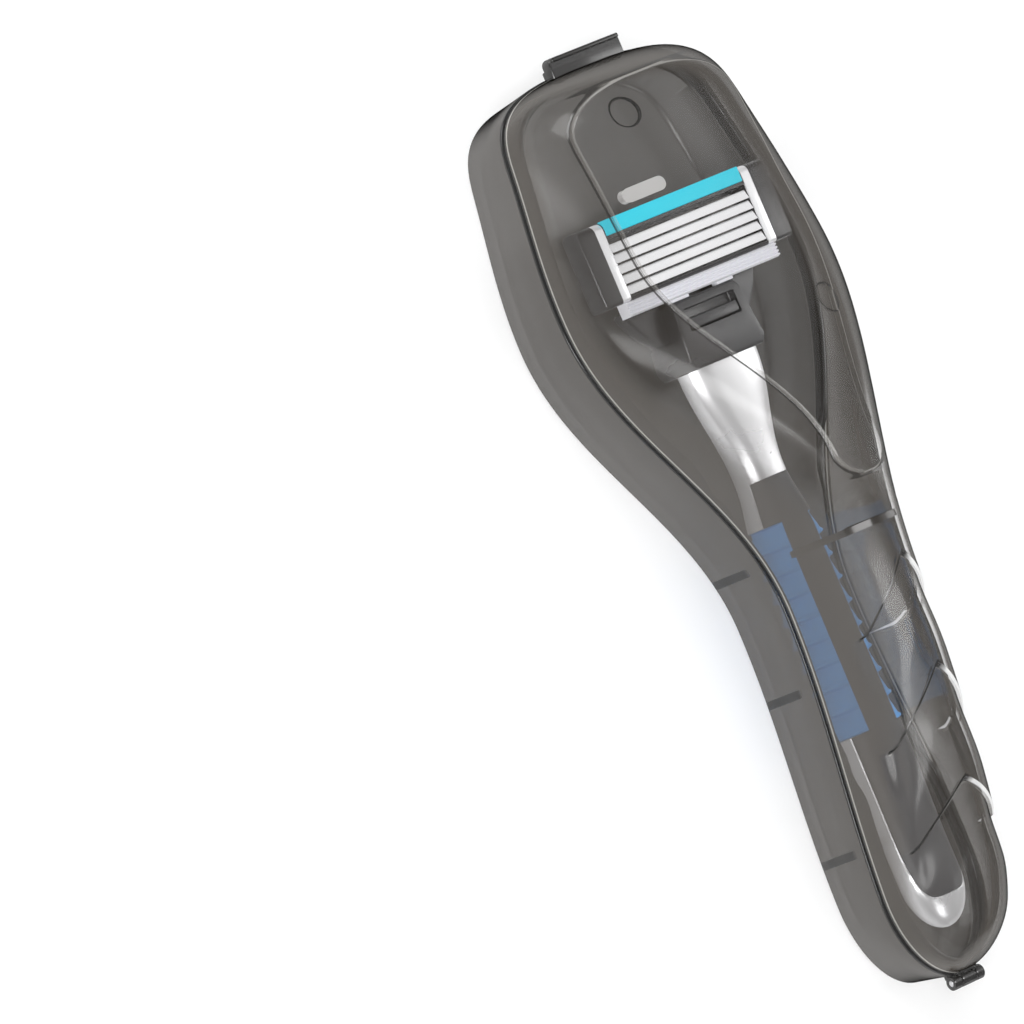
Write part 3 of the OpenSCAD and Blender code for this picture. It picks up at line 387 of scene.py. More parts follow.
def seeThrough(name, light, dark, faceAlpha, seamBand=None, seamGlint=None, rings=(), floorAlpha=None,
               sideAlpha=None, ribShadows=()):
    # smoke plastic: clear face on, black where a wall is seen edgeways; only the skin's own front counts
    d = smoke
    material = finish(name, "smoke_plastic", light, dark, 0.2, variation=0.04, bump=0.004, grainScale=500.0,
                      specular=0.0)
    tree = material.node_tree
    shader = tree.nodes["Principled BSDF"]
    shader.inputs["Coat IOR"].default_value = d["coatIor"]
    shader.inputs["Coat Roughness"].default_value = d["coatRoughness"]
    weight, side, ray, place = (tree.nodes.new("ShaderNode" + kind)
                                for kind in ("LayerWeight", "NewGeometry", "LightPath", "TexCoord"))
    weight.inputs["Blend"].default_value = 0.5
    facing, at = weight.outputs["Facing"], split(tree, place.outputs["Object"])

    def times(first, second):
        return combine(tree, "MULTIPLY", first, second)

    def larger(first, second):
        return combine(tree, "MAXIMUM", first, second)

    front = combine(tree, "SUBTRACT", 1.0, side.outputs["Backfacing"])
    dense = ramp(tree, facing, d["denseFrom"], d["denseTo"], 0.0, d["denseShare"])
    darkEdgeAndShade, glint = ramp(tree, facing, d["edgeFrom"], d["edgeTo"]), None
    if seamBand:
        darkEdgeAndShade = larger(darkEdgeAndShade, stripe(tree, measured(tree, "aboveRim"), *seamBand))
    if seamGlint:
        glint = stripe(tree, measured(tree, "aboveRim"), *seamGlint)
    if sideAlpha:  # the panel's edge and the chevrons get painted shade lines and painted highlight lines, with a painted white highlight crescent past the ridge
        away, step = measured(tree, "insidePanel"), measured(tree, "stepAway")
        middle, half, strength = d["panelEdgeShade"]
        darkEdgeAndShade = larger(darkEdgeAndShade, times(stripe(tree, away, middle, half), strength))
        darkEdgeAndShade = larger(darkEdgeAndShade, times(ramp(tree, step, *d["stepShade"]), ramp(tree, at["X"], *d["stepSide"])))
        middle, half, strength = d["panelGlint"]
        glint = larger(glint, times(stripe(tree, away, middle, half), strength))
        glint = larger(glint, ramp(tree, measured(tree, "stepGlint"), *d["stepGlint"]))
        crescentHighlight = times(ramp(tree, step, *d["crescentHighlightLine"]), ramp(tree, at["X"], *d["crescentHighlightSide"]))
    # painted shade: a dark line round each dimple
    for x, y, radius in rings:
        half, strength = d["ringShade"]
        darkEdgeAndShade = larger(darkEdgeAndShade, times(stripe(tree, ringDistance(tree, x, y), radius, half), strength))
    for t in ribShadows:  # painted shade: dark bands on the wall where the ribs stand behind it
        across = stripe(tree, at["Y"], atY(t) * mm, d["ribHalf"], d["ribSoft"])
        darkEdgeAndShade = larger(darkEdgeAndShade, times(across, ramp(tree, at["Z"], *d["ribTop"], d["ribShade"], 0.0)))
    # near-black laid over the tint: walls seen edgeways and the seam, and painted shade lines
    colour = layered(tree, shader.inputs["Base Color"].links[0].from_socket, d["darkEdgeAndShade"], darkEdgeAndShade)
    face = faceAlpha
    if floorAlpha:  # the tray's floor is thicker than its walls
        face = ramp(tree, at["Z"], d["floorUpTo"], d["wallFrom"], floorAlpha, faceAlpha)
    if sideAlpha:  # the lid is clearest in its panel and densest where it stands upright
        level = combine(tree, "ABSOLUTE", split(tree, side.outputs["Normal"])["Z"])
        face = larger(ramp(tree, measured(tree, "insidePanel"), -0.1, 0.1, faceAlpha, d["panelAlpha"]),
                      ramp(tree, level, d["uprightTo"], d["uprightFrom"], sideAlpha, 0.0))
    cover = ramp(tree, larger(darkEdgeAndShade, dense), 0.0, 1.0, face, d["edgeAlpha"])
    if glint is not None:
        colour = layered(tree, colour, d["glint"], glint)
        cover = larger(cover, times(glint, d["glintCover"]))
    if sideAlpha:
        # painted highlight: a white crescent on the right flank past each chevron's ridge
        colour = layered(tree, colour, d["crescentHighlight"], crescentHighlight)
        cover = larger(cover, times(crescentHighlight, d["crescentHighlightCover"]))
    tree.links.new(colour, shader.inputs["Base Color"])
    tree.links.new(times(front, ramp(tree, facing, d["coatFrom"], d["coatTo"], 1.0, 0.0)),
                   shader.inputs["Coat Weight"])
    lit = ramp(tree, ray.outputs["Is Camera Ray"], 0.0, 1.0, d["lampShare"], 1.0)
    tree.links.new(times(times(cover, front), lit), shader.inputs["Alpha"])
    return material


def keepDistance(obj, name, rule):  # keeps rule(x, station, z) on the mesh for the material
    kept = obj.data.attributes.new(name, "FLOAT", "POINT")
    for number, v in enumerate(obj.data.vertices):
        kept.data[number].value = rule(v.co.x / mm, case["length"] / 2 - v.co.y / mm, v.co.z / mm)


ribs = {"thickness": 1.2, "at": (93.0, 116.0, 145.5), "belowRim": 1.2, "bite": 0.4, "cradleGap": 0.3,
        "lidAt": 93.0, "lidDepth": 2.0}
details = {"slotX": -12.3, "slotAt": 24.6, "slotLength": 9.0, "slotWidth": 2.8,
           "dimples": ((-8.7, 10.9), (12.4, 54.1)), "dimple": 5.6, "dimpleDepth": 0.4}
smokeLid = seeThrough("smokeLid", (0.07, 0.06, 0.05), (0.05, 0.043, 0.035), 0.34, sideAlpha=0.8,
                      seamBand=(0.3, 0.22), seamGlint=(0.95, 0.14),
                      rings=[(x, atY(t), details["dimple"] / 2) for x, t in details["dimples"]])
smokeBase = seeThrough("smokeBase", (0.082, 0.076, 0.07), (0.062, 0.057, 0.052), 0.92, seamBand=(1.0, 1.45),
                       floorAlpha=0.95, ribShadows=ribs["at"])
smokeThick = seeThrough("smokeThick", (0.01, 0.009, 0.008), (0.006, 0.0055, 0.005), 0.985)
# a pale see-through material for the piece that fills the slot
paleSlotFill = seeThrough("paleSlotFill", (0.62, 0.61, 0.6), (0.5, 0.49, 0.48), 0.62)
plated = finish("platedMetal", "handle_metal", (0.92, 0.92, 0.93), (0.86, 0.86, 0.88), 0.28,
                metallic=0.7, bump=0.01)
wire = finish("drawnWire", "pin_steel", (0.62, 0.62, 0.63), (0.5, 0.5, 0.51), 0.3, metallic=1.0)
bladeSteel = finish("groundSteel", "blade_steel", (0.97, 0.97, 0.98), (0.9, 0.9, 0.92), 0.3,
                    metallic=0.15, grainScale=2500.0)
inlayGrey = finish("inlayGrey", "inlay_plastic", (0.075, 0.075, 0.08), (0.055, 0.055, 0.06), 0.42, bump=0.05)
gripBlue = finish("gripRubber", "grip_rubber", (0.14, 0.45, 0.95), (0.11, 0.4, 0.88), 0.5,
                  bump=0.08, specular=0.35)
jetBlack = finish("satinBlack", "black_plastic", (0.02, 0.02, 0.022), (0.013, 0.013, 0.015), 0.26,
                  bump=0.03, specular=0.8)
stripTeal = finish("stripTeal", "strip_polymer", (0.02, 0.66, 0.82), (0.015, 0.58, 0.74), 0.45, bump=0.06)
clipBright = finish("clipBright", "clip_metal", (0.95, 0.95, 0.96), (0.88, 0.88, 0.9), 0.24, metallic=0.5)
guardPale = finish("guardPale", "guard_elastomer", (0.85, 0.85, 0.89), (0.78, 0.78, 0.83), 0.45,
                   bump=0.05, specular=0.35)
print("materials made")

# ---- lid
lid = {
    "headHeight": 15.8, "waistHeight": 25.3, "tailHeight": 12.6, "topAt": 84.0, "tailAt": 160.0,
    "climbFrom": 28.0, "headCap": 16.0, "headRound": 2.4, "tailCap": 9.0, "fullness": 2.4, "wall": 1.3,
    "panelFrom": 5.0, "panelTo": 84.6, "panelHalfWidth": 19.5, "panelTipWidth": 5.5,
    "panelTaperFrom": 36.0, "panelTaperTo": 80.0, "panelHeadCap": 9.0, "panelTipCap": 5.0,
    "panelStep": 0.5, "panelSoftness": 0.32,
    "chevronFrom": 99.6, "chevronPitch": 20.2, "chevronCount": 3, "chevronDepth": 1.0,
    "chevronEdge": 0.5, "chevronArmEnd": 38.0, "chevronFade": 14.0, "chevronRecover": 13.0,
    "chevronSweep": 11.2, "sweepIn": 14.0, "sweepOut": 58.0,
    "lowColumns": 16, "edgeColumns": 8, "highColumns": 14, "edgeAngle": 2.0, "plainAngle": 50.0,
}


def lidSideHeight(t):
    d = lid
    if t < d["topAt"]:
        return mix(d["headHeight"], d["waistHeight"], between(t, d["climbFrom"], d["topAt"]))
    along = (t - d["topAt"]) / (d["tailAt"] - d["topAt"])
    return d["waistHeight"] - (d["waistHeight"] - d["tailHeight"]) * along ** 2


def lidHeight(t, wall, inset):
    d = lid
    return (lidSideHeight(t) - wall) * roundEnd((t - inset) / d["headCap"], d["headRound"]) * roundEnd(
        (case["length"] - inset - t) / d["tailCap"], case["tailRound"])


def panelEdge(t):
    d = lid
    if t <= d["panelFrom"] or t >= d["panelTo"]:
        return 0.0
    taper = between(t, d["panelTaperFrom"], d["panelTaperTo"])
    return mix(d["panelHalfWidth"], d["panelTipWidth"], taper) * roundEnd(
        (t - d["panelFrom"]) / d["panelHeadCap"], 2.4) * roundEnd(
        (d["panelTo"] - t) / d["panelTipCap"], 2.0)


def panelDistance(x, t, z=0.0):  # inwards from the panel's edge
    d, nudge = lid, 0.05
    ends = min(t - d["panelFrom"], d["panelTo"] - t)
    t = min(max(t, d["panelFrom"] + 2 * nudge), d["panelTo"] - 2 * nudge)
    slope = (panelEdge(t + nudge) - panelEdge(t - nudge)) / (2 * nudge)
    return min(ends, (panelEdge(t) - abs(x)) / math.hypot(1, slope))


def panelLift(t, x):
    d = lid
    if panelEdge(t) == 0:
        return 0.0
    return d["panelStep"] * smooth(-d["panelSoftness"], d["panelSoftness"], panelDistance(x, t))


def lidSweep(u, inset):
    d = lid
    return d["chevronSweep"] * ease((u - d["panelTo"]) / d["sweepIn"]) * math.sin(
        math.radians(90 * min(1, (case["length"] - inset - u) / d["sweepOut"])))


def rise(angle):
    return min(angle, 180 - angle)


def chevronDrop(u, angle):
    d = lid
    number = math.floor((u - d["chevronFrom"]) / d["chevronPitch"])
    if number < 0 or number >= d["chevronCount"]:
        return 0.0
    past = u - d["chevronFrom"] - number * d["chevronPitch"]
    fade = ease((rise(angle) - d["chevronArmEnd"] + d["chevronFade"]) / d["chevronFade"])
    return d["chevronDepth"] * fade * smooth(0, d["chevronEdge"], past) * (
        1 - ease((past - d["chevronEdge"]) / d["chevronRecover"]))


def stepPlace(x, t):  # millimetres past the nearest chevron's edge, and how far the chevron has faded there
    d, u = lid, t
    share = min(1, abs(x) / max(0.1, halfWidth(t, case["rimStep"])))
    angle = math.degrees(math.acos(share ** (d["fullness"] / 2)))
    arm = min(1, (90 - angle) / (90 - d["chevronArmEnd"]))
    for i in range(8):
        u = t - lidSweep(u, case["rimStep"]) * arm
    number = min(max(round((u - d["chevronFrom"]) / d["chevronPitch"]), 0), d["chevronCount"] - 1)
    faded = 1 - ease((angle - d["chevronArmEnd"] + d["chevronFade"]) / d["chevronFade"])
    return u - d["chevronFrom"] - number * d["chevronPitch"], faded


def stepDistance(x, t, middle):
    past, faded = stepPlace(x, t)
    return abs(past - middle) + 2.0 * faded


def edgeColumn(u):  # the section angle that follows the panel's edge
    d = lid
    t = min(max(u, d["panelFrom"] + 0.1), d["panelTo"] - 0.1)
    edge = max(2.5, panelEdge(t))
    share = min(0.95, edge / halfWidth(t, case["rimStep"]))
    angle = math.degrees(math.acos(share ** (d["fullness"] / 2)))
    if u < d["panelFrom"]:
        return mix(d["plainAngle"], angle, u / d["panelFrom"])
    if u > d["panelTo"]:
        return mix(angle, d["plainAngle"], ease((u - d["panelTo"]) / 8))
    return angle


def lidColumns(u):
    d, a = lid, edgeColumn(u)
    low = [(a - d["edgeAngle"]) * i / d["lowColumns"] for i in range(d["lowColumns"])]
    near = [a + d["edgeAngle"] * (2 * i / d["edgeColumns"] - 1) for i in range(d["edgeColumns"])]
    high = [mix(a + d["edgeAngle"], 90, i / d["highColumns"]) for i in range(d["highColumns"] + 1)]
    half = low + near + high
    return half + [180 - x for x in reversed(half[:-1])]


def lidPoint(u, angle, inset, wall):
    d = lid
    arm = min(1, (90 - rise(angle)) / (90 - d["chevronArmEnd"]))
    t = u + lidSweep(u, inset) * arm
    x = halfWidth(t, inset) * roundCos(angle, d["fullness"])
    z = lidHeight(t, wall, inset) * abs(roundSin(angle, d["fullness"]))
    k = 1.0
    if rise(angle) > 0 and math.hypot(x, z) > 0.01:
        k += (panelLift(u, x) - chevronDrop(u, angle)) / math.hypot(x, z)
    return x * k, atY(t), rimZ(t) + case["rimGap"] + z * k


def lidRows():
    d, inset, rows = lid, case["rimStep"], []
    rows += [inset + case["headCap"] * (1 - math.cos(math.pi / 2 * i / 22) ** (2 / case["headSquare"]))
             for i in range(23)]
    rows += [mix(inset + case["headCap"], case["length"] - inset - case["tailCap"], i / 110)
             for i in range(1, 110)]
    rows += [case["length"] - inset - case["tailCap"] * (1 - math.sin(math.pi / 2 * i / 20))
             for i in range(21)]
    rows += [d["panelFrom"] + x for x in (-0.2, 0.0, 0.15, 0.3, 0.5, 0.8, 1.2)]
    rows += [d["panelTo"] - x for x in (-0.2, 0.0, 0.15, 0.3, 0.5, 0.8, 1.2)]
    for k in range(d["chevronCount"]):
        edge = d["chevronFrom"] + k * d["chevronPitch"]
        rows += [edge + x for x in (-0.55, -0.3, -0.1, 0.0, 0.12, 0.25, 0.38, 0.5, 0.65, 0.8, 0.95, 1.15)]
    kept = []
    for u in sorted(rows):
        if not kept or u - kept[-1] > 0.07:
            kept.append(u)
    kept[-1] = case["length"] - inset
    return kept


def buildLid():
    rows = lidRows()
    outer, wall = case["rimStep"], lid["wall"]
    columns = [lidColumns(u) for u in rows]
    count = len(columns[0])
    ends = 18.0  # over this length the inner skin's stations draw in by the wall

    def place(row, column):
        u = rows[row]
        if column < count:
            return lidPoint(u, columns[row][column], outer, 0.0)
        if column == 2 * count:
            return lidPoint(u, columns[row][0], outer, 0.0)
        shift = max(0, 1 - (u - outer) / ends) - max(0, 1 - (case["length"] - outer - u) / ends)
        return lidPoint(u + wall * shift, columns[row][2 * count - 1 - column], outer + wall, wall)

    bm = bmesh.new()
    gridMesh(bm, len(rows) - 1, 2 * count, place)
    return bm


lidPiece = piece("lidShell", buildLid(), "lid", smokeLid, ["case_lid"], sharpAngle=50)
print("lid shell:", len(lidPiece.data.polygons), "faces")

# ---- base
base = {
    "draft": 1.2, "footRounding": 1.0, "wall": 1.6, "floor": 1.6, "lipHeight": 1.8, "lipWidth": 0.8,
    "lipStop": 80.0, "lipStart": 124.0, "lipRamp": 6.0, "lipLag": 8.0, "shelf": 1.2, "rimSoftness": 0.12,
    "around": 300, "endSteps": 34,
}
lipInset = case["rimStep"] + lid["wall"] + case["rimGap"]


def offWaist(t, lag=0.0):  # 1 away from the waist, 0 along it
    b = base
    return 1 - ease((t - b["lipStop"] + lag) / b["lipRamp"]) * (
        1 - ease((t - b["lipStart"] - lag) / b["lipRamp"]))


def shelfInset(t):
    return mix(base["wall"], lipInset + base["lipWidth"], offWaist(t))


def lipTop(t):
    return rimZ(t) + 0.1 + base["lipHeight"] * offWaist(t, base["lipLag"])


def outlineStations(ends):  # stations down the right side, closer together at the round ends
    steps, c = base["endSteps"], case
    head = [ends + c["headCap"] * (1 - math.cos(math.pi / 2 * i / steps) ** (2 / c["headSquare"]))
            for i in range(steps + 1)]
    middle = [mix(ends + c["headCap"], c["length"] - ends - c["tailCap"], i / 82) for i in range(1, 82)]
    tail = [c["length"] - ends - c["tailCap"] * (1 - math.sin(math.pi / 2 * i / steps))
            for i in range(steps + 1)]
    return head + middle + tail


def baseRings():
    b, soft = base, base["rimSoftness"]
    rings = []  # (inset, height) as functions of the station
    for i in range(7):
        a = math.pi / 2 * i / 6
        rings.append((lambda t, k=1 - math.sin(a): b["draft"] + b["footRounding"] * k,
                      lambda t, k=1 - math.cos(a): b["footRounding"] * k))
    rings.append((lambda t: b["draft"] * 0.5, lambda t: rimZ(t) * 0.55))
    rings.append((lambda t: 0.0, lambda t: rimZ(t) - soft))
    rings.append((lambda t: soft * 0.3, lambda t: rimZ(t) - soft * 0.3))
    rings.append((lambda t: soft, lambda t: rimZ(t)))
    lipOut = lambda t: min(lipInset, shelfInset(t) - 0.1)
    rings.append((lambda t: lipOut(t) - 0.05, lambda t: rimZ(t) + 0.02))
    rings.append((lambda t: lipOut(t), lambda t: rimZ(t) + 0.08))
    rings.append((lambda t: lipOut(t) + 0.02, lambda t: lipTop(t) - 0.02))
    rings.append((lambda t: lipOut(t) + 0.08, lambda t: lipTop(t) + 0.02))
    rings.append((lambda t: shelfInset(t), lambda t: lipTop(t)))
    rings.append((lambda t: shelfInset(t) + 0.1, lambda t: lipTop(t) - 0.1))
    rings.append((lambda t: shelfInset(t) + 0.1, lambda t: rimZ(t) - b["shelf"]))
    rings.append((lambda t: b["wall"] + 0.2, lambda t: rimZ(t) - 2 * b["shelf"]))
    rings.append((lambda t: b["wall"] + b["draft"] - 0.1, lambda t: b["floor"] + 0.8))
    rings.append((lambda t: b["wall"] + b["draft"] + 0.2, lambda t: b["floor"] + 0.2))
    rings.append((lambda t: b["wall"] + b["draft"] + 0.8, lambda t: b["floor"]))
    return rings


def buildBase():
    rings = baseRings()
    stations = [outlineStations(inset(0)) for inset, height in rings]
    side = len(stations[0]) - 1

    def place(row, column):
        inset, height = rings[row]
        left = column > side
        t = stations[row][2 * side - column if left else column]
        x = halfWidth(t, inset(t), inset(0))
        return -x if left else x, atY(t), height(t)

    bm = bmesh.new()
    gridMesh(bm, len(rings) - 1, 2 * side, place)
    capEnds(bm)
    return bm


basePiece = piece("baseTray", buildBase(), "base", smokeBase, ["case_base"], sharpAngle=50)
print("base tray:", len(basePiece.data.polygons), "faces")

# ---- ribs, ledge, hinge and thumb tab
hinge = {"knuckle": 2.6, "pin": 1.2, "clear": 0.05, "lidKnuckle": 3.2, "baseKnuckle": 1.8, "gap": 0.3,
         "armReach": 3.4, "armThickness": 1.0}
tab = {"width": 17.4, "out": 3.0, "thickness": 2.2, "rounding": 1.2, "root": 1.4, "lipThickness": 0.8,
       "lipHeight": 0.8, "ledgeOut": 1.2, "ledgeThickness": 1.6, "ledgeDrop": 1.0}
hingeOut = hinge["knuckle"] / 2 - 0.4
hingeY = -case["length"] / 2 - hingeOut
hingeZ = case["rimHeight"] + case["rimGap"] / 2
hingeAt = (0, hingeY, hingeZ)

handle = {
    "neckAt": 57.0, "tailAt": 163.5, "gripWidth": 12.6, "neckWidth": 17.4, "slimWidth": 9.4, "tailWidth": 12.2,
    "gripThickness": 10.0, "neckThickness": 8.0, "tailThickness": 8.0, "gripZ": 13.6, "neckRise": 1.2,
    "neckEnd": 78.0, "gripFullAt": 90.0, "tailCap": 9.0, "taperTo": 150.0, "fullness": 2.5,
    "gripFrom": 87.0, "gripTo": 126.5, "rubber": 2.8, "ribHeight": 0.4, "groove": 0.5, "ribCount": 9,
    "inlayFrom": 79.0, "inlayTo": 158.0, "inlayCut": 0.4, "inlayTip": 12.0,
    "around": 64, "seam": 0.05,
}


def handleZ(t):
    h = handle
    return h["gripZ"] + h["neckRise"] * (1 - between(t, h["neckAt"], h["neckEnd"]))


def handleEnd(t):
    return roundEnd((handle["tailAt"] - t) / handle["tailCap"], 2.0)


def handleHalfWidth(t):
    h = handle
    if t < h["neckEnd"]:
        w = mix(h["neckWidth"], h["slimWidth"], between(t, h["neckAt"], h["neckEnd"]))
    elif t < h["gripFullAt"]:
        w = mix(h["slimWidth"], h["gripWidth"], between(t, h["neckEnd"], h["gripFullAt"]))
    else:
        w = mix(h["gripWidth"], h["tailWidth"], between(t, h["gripTo"], h["taperTo"]))
    return handleEnd(t) * w / 2


def handleHalfThickness(t):
    h = handle
    if t < h["gripFullAt"]:
        w = mix(h["neckThickness"], h["gripThickness"], between(t, h["neckEnd"], h["gripFullAt"]))
    else:
        w = mix(h["gripThickness"], h["tailThickness"], between(t, h["gripTo"], h["taperTo"]))
    return handleEnd(t) * w / 2


def gripX(t):
    return handleHalfWidth(t) - handle["rubber"]


def inlayZ(t):
    tip = roundEnd((handle["inlayTo"] - t) / handle["inlayTip"], 2.0)
    return handleZ(t) + handleHalfThickness(t) * mix(1, handle["inlayCut"], tip)


def inGrip(t):
    return handle["gripFrom"] < t < handle["gripTo"]


def inInlay(t):
    return handle["inlayFrom"] < t < handle["inlayTo"]


def addRib(bm, t):  # a cross rib of the base, with its notch for the handle
    r, inner = ribs, base["wall"] - ribs["bite"]
    low, high = halfWidth(t, base["draft"] + inner), halfWidth(t, inner)
    top, floorAt = rimZ(t) - r["belowRim"], base["floor"] - r["bite"]
    room = r["cradleGap"] + (handle["ribHeight"] if inGrip(t) else 0)
    notch, depth = handleHalfWidth(t) + room, handleHalfThickness(t) + room
    outline = [(-low, floorAt), (low, floorAt), (high, top), (notch, top)]
    for a in range(0, -181, -10):
        x = notch * roundCos(a, handle["fullness"])
        z = handleZ(t) + depth * roundSin(a, handle["fullness"])
        if z < top - 0.05:
            outline.append((x, z))
    outline += [(-notch, top), (-high, top)]
    verts = [bm.verts.new(Vector((x, atY(t) - r["thickness"] / 2, z)) * mm) for x, z in outline]
    face = bm.faces.new(verts)
    made = bmesh.ops.extrude_face_region(bm, geom=[face])["geom"]
    bmesh.ops.translate(bm, verts=[g for g in made if isinstance(g, bmesh.types.BMVert)],
                        vec=Vector((0, r["thickness"], 0)) * mm)


def addLidRib(bm, t):  # the thin rib that follows the inside of the lid
    r, d = ribs, lid
    inset = case["rimStep"] + d["wall"] - r["bite"]
    wide, tall = halfWidth(t, inset), lidHeight(t, d["wall"] - r["bite"], inset)
    depth = r["lidDepth"] + r["bite"]

    def place(row, column):
        a = mix(12, 168, row / 40)
        k = depth if column in (1, 2) else 0
        y = atY(t) + (r["thickness"] / 2 if column in (0, 1, 4) else -r["thickness"] / 2)
        return ((wide - k) * roundCos(a, d["fullness"]), y,
                rimZ(t) + case["rimGap"] + (tall - k) * roundSin(a, d["fullness"]))
    gridMesh(bm, 40, 4, place)
    capEnds(bm)


h = hinge
bm = bmesh.new()
addLidRib(bm, ribs["lidAt"])
piece("lidRib", bm, "lid", smokeThick, ["case_lid"])

bm = bmesh.new()
half = h["lidKnuckle"] / 2
pinHalf = half + h["gap"] + h["baseKnuckle"]
sleeve(bm, -half, half, h["pin"] / 2 + h["clear"], h["knuckle"] / 2, hingeAt)
box(bm, (-half, hingeY + 1.0, hingeZ + case["rimGap"] / 2), (half, hingeY + 2.7, hingeZ + 1.6), 0.15)
piece("lidKnuckle", bm, "lid", smokeThick, ["case_lid"])

bm = bmesh.new()
reliefHalf, reliefRadius = half + h["gap"] + 0.4, h["knuckle"] / 2 + h["gap"]
drum(bm, -reliefHalf, reliefHalf, reliefRadius, hingeAt)
carve(basePiece, bm, sharpAngle=50)

bm = bmesh.new()
for t in ribs["at"]:
    addRib(bm, t)
piece("cradleRibs", bm, "base", smokeThick, ["case_base"])

bm = bmesh.new()
for side in (-1, 1):
    x0, x1 = span(side, half + h["gap"], pinHalf)
    sleeve(bm, x0, x1, h["pin"] / 2, h["knuckle"] / 2, hingeAt)
    top = hingeZ - case["rimGap"] / 2
    box(bm, (x0, hingeY + 0.8, top - h["armThickness"]), (x1, hingeY + hingeOut + h["armReach"], top), 0.15)
piece("baseKnuckles", bm, "base", smokeThick, ["case_base"])

bm = bmesh.new()
sleeve(bm, -pinHalf, pinHalf, 0, h["pin"] / 2, hingeAt, steps=32)
piece("hingePin", bm, "base", wire, ["hinge_pin"])

bm = bmesh.new()
d, front = tab, case["length"] / 2
low = case["rimHeight"] + case["rimGap"]
tabHalf, tabRound, tabEnd = d["width"] / 2, d["rounding"], front + d["out"]
tabOutline = [(-tabHalf, front - d["root"]), (tabHalf, front - d["root"])]
for side in (1, -1):
    for i in range(7):
        a = math.pi / 2 * (i / 6 if side > 0 else 1 - i / 6)
        tabOutline.append((side * (tabHalf - tabRound + tabRound * math.cos(a)),
                           tabEnd - tabRound + tabRound * math.sin(a)))
prism(bm, tabOutline, low, low + d["thickness"], axis="z", rounding=0.35, segments=3)
box(bm, (-d["width"] / 2 + 0.5, front + d["out"] - d["lipThickness"] - 0.05, low + d["thickness"] - 0.3),
    (d["width"] / 2 - 0.5, front + d["out"] - 0.02, low + d["thickness"] + d["lipHeight"]), 0.3, 4)
piece("thumbTab", bm, "lid", smokeThick, ["case_lid"])

bm = bmesh.new()
top = case["rimHeight"] - d["ledgeDrop"]
box(bm, (-d["width"] / 2 + 2, front - d["root"], top - d["ledgeThickness"]),
    (d["width"] / 2 - 2, front + d["ledgeOut"], top), 0.3, 4)
piece("baseLedge", bm, "base", smokeThick, ["case_base"])
print("ribs, hinge and tab made")


# ---- razor handle
def handleStations():
    h = handle
    marks = [h["neckAt"], h["inlayFrom"] - h["seam"], h["inlayFrom"] + h["seam"], h["gripFrom"] - h["seam"],
             h["gripFrom"] + h["seam"], h["gripTo"] - h["seam"], h["gripTo"] + h["seam"],
             h["inlayTo"] - h["seam"], h["inlayTo"] + h["seam"]]
    stations = [h["neckAt"] + i for i in range(1, 98)] + [
        h["tailAt"] - h["tailCap"] * (1 - math.sin(math.pi / 2 * i / 14)) for i in range(15)]
    kept = sorted(set(marks + [t for t in stations if min(abs(t - m) for m in marks) > 0.4]))
    return [t for t in kept if t < h["tailAt"] - 0.001] + [h["tailAt"] - 0.001]


def handlePoint(t, angle):
    h = handle
    x = handleHalfWidth(t) * roundCos(angle, h["fullness"])
    z = handleZ(t) + handleHalfThickness(t) * roundSin(angle, h["fullness"])
    if inGrip(t):
        x = min(max(x, -gripX(t)), gripX(t))
    if inInlay(t):
        z = min(z, inlayZ(t))
    return x, atY(t), z


def buildHandle():
    stations, around = handleStations(), handle["around"]
    first = stations[0]

    def place(row, column):
        if row == 0:
            return 0, atY(first), handleZ(first)
        return handlePoint(stations[row - 1], 360 * column / around)
    bm = bmesh.new()
    gridMesh(bm, len(stations), around, place)
    capEnds(bm)
    return bm


piece("handleBody", buildHandle(), "base", plated, ["handle_body"], sharpAngle=32)


def handleTop(x, t):
    h = handle
    share = max(0, 1 - (abs(x) / handleHalfWidth(t)) ** h["fullness"])
    return handleZ(t) + handleHalfThickness(t) * share ** (1 / h["fullness"])


def buildInlay():
    h, steps = handle, 14
    marks = [h["inlayFrom"] + 0.02, h["gripFrom"] - h["seam"], h["gripFrom"] + h["seam"],
             h["gripTo"] - h["seam"], h["gripTo"] + h["seam"]]
    stations = sorted(marks + [t for t in [h["inlayFrom"] + i for i in range(1, 71)]
                               if min(abs(t - m) for m in marks) > 0.4] + [
        h["inlayTo"] - 8 * (1 - math.sin(math.pi / 2 * i / 12)) for i in range(12)])

    def place(row, column):
        t = stations[min(max(row - 1, 0), len(stations) - 1)]
        level = (inlayZ(t) - handleZ(t)) / handleHalfThickness(t)
        free = 0.97 * handleHalfWidth(t) * (1 - min(level, 0.995) ** h["fullness"]) ** (1 / h["fullness"])
        w = min(free, gripX(t)) if inGrip(t) else free
        if row in (0, len(stations) + 1):
            return 0, atY(t), (inlayZ(t) + handleTop(0, t)) / 2
        if column <= steps:
            x = -w * math.cos(math.pi * column / steps)
            return x, atY(t), handleTop(x, t)
        return (w if column == steps + 1 else -w), atY(t), inlayZ(t)
    bm = bmesh.new()

    def closed(row, column):
        return place(row, 0 if column == steps + 3 else column)
    gridMesh(bm, len(stations) + 1, steps + 3, closed)
    return bm


piece("handleInlay", buildInlay(), "base", inlayGrey, ["handle_inlay"], sharpAngle=32)


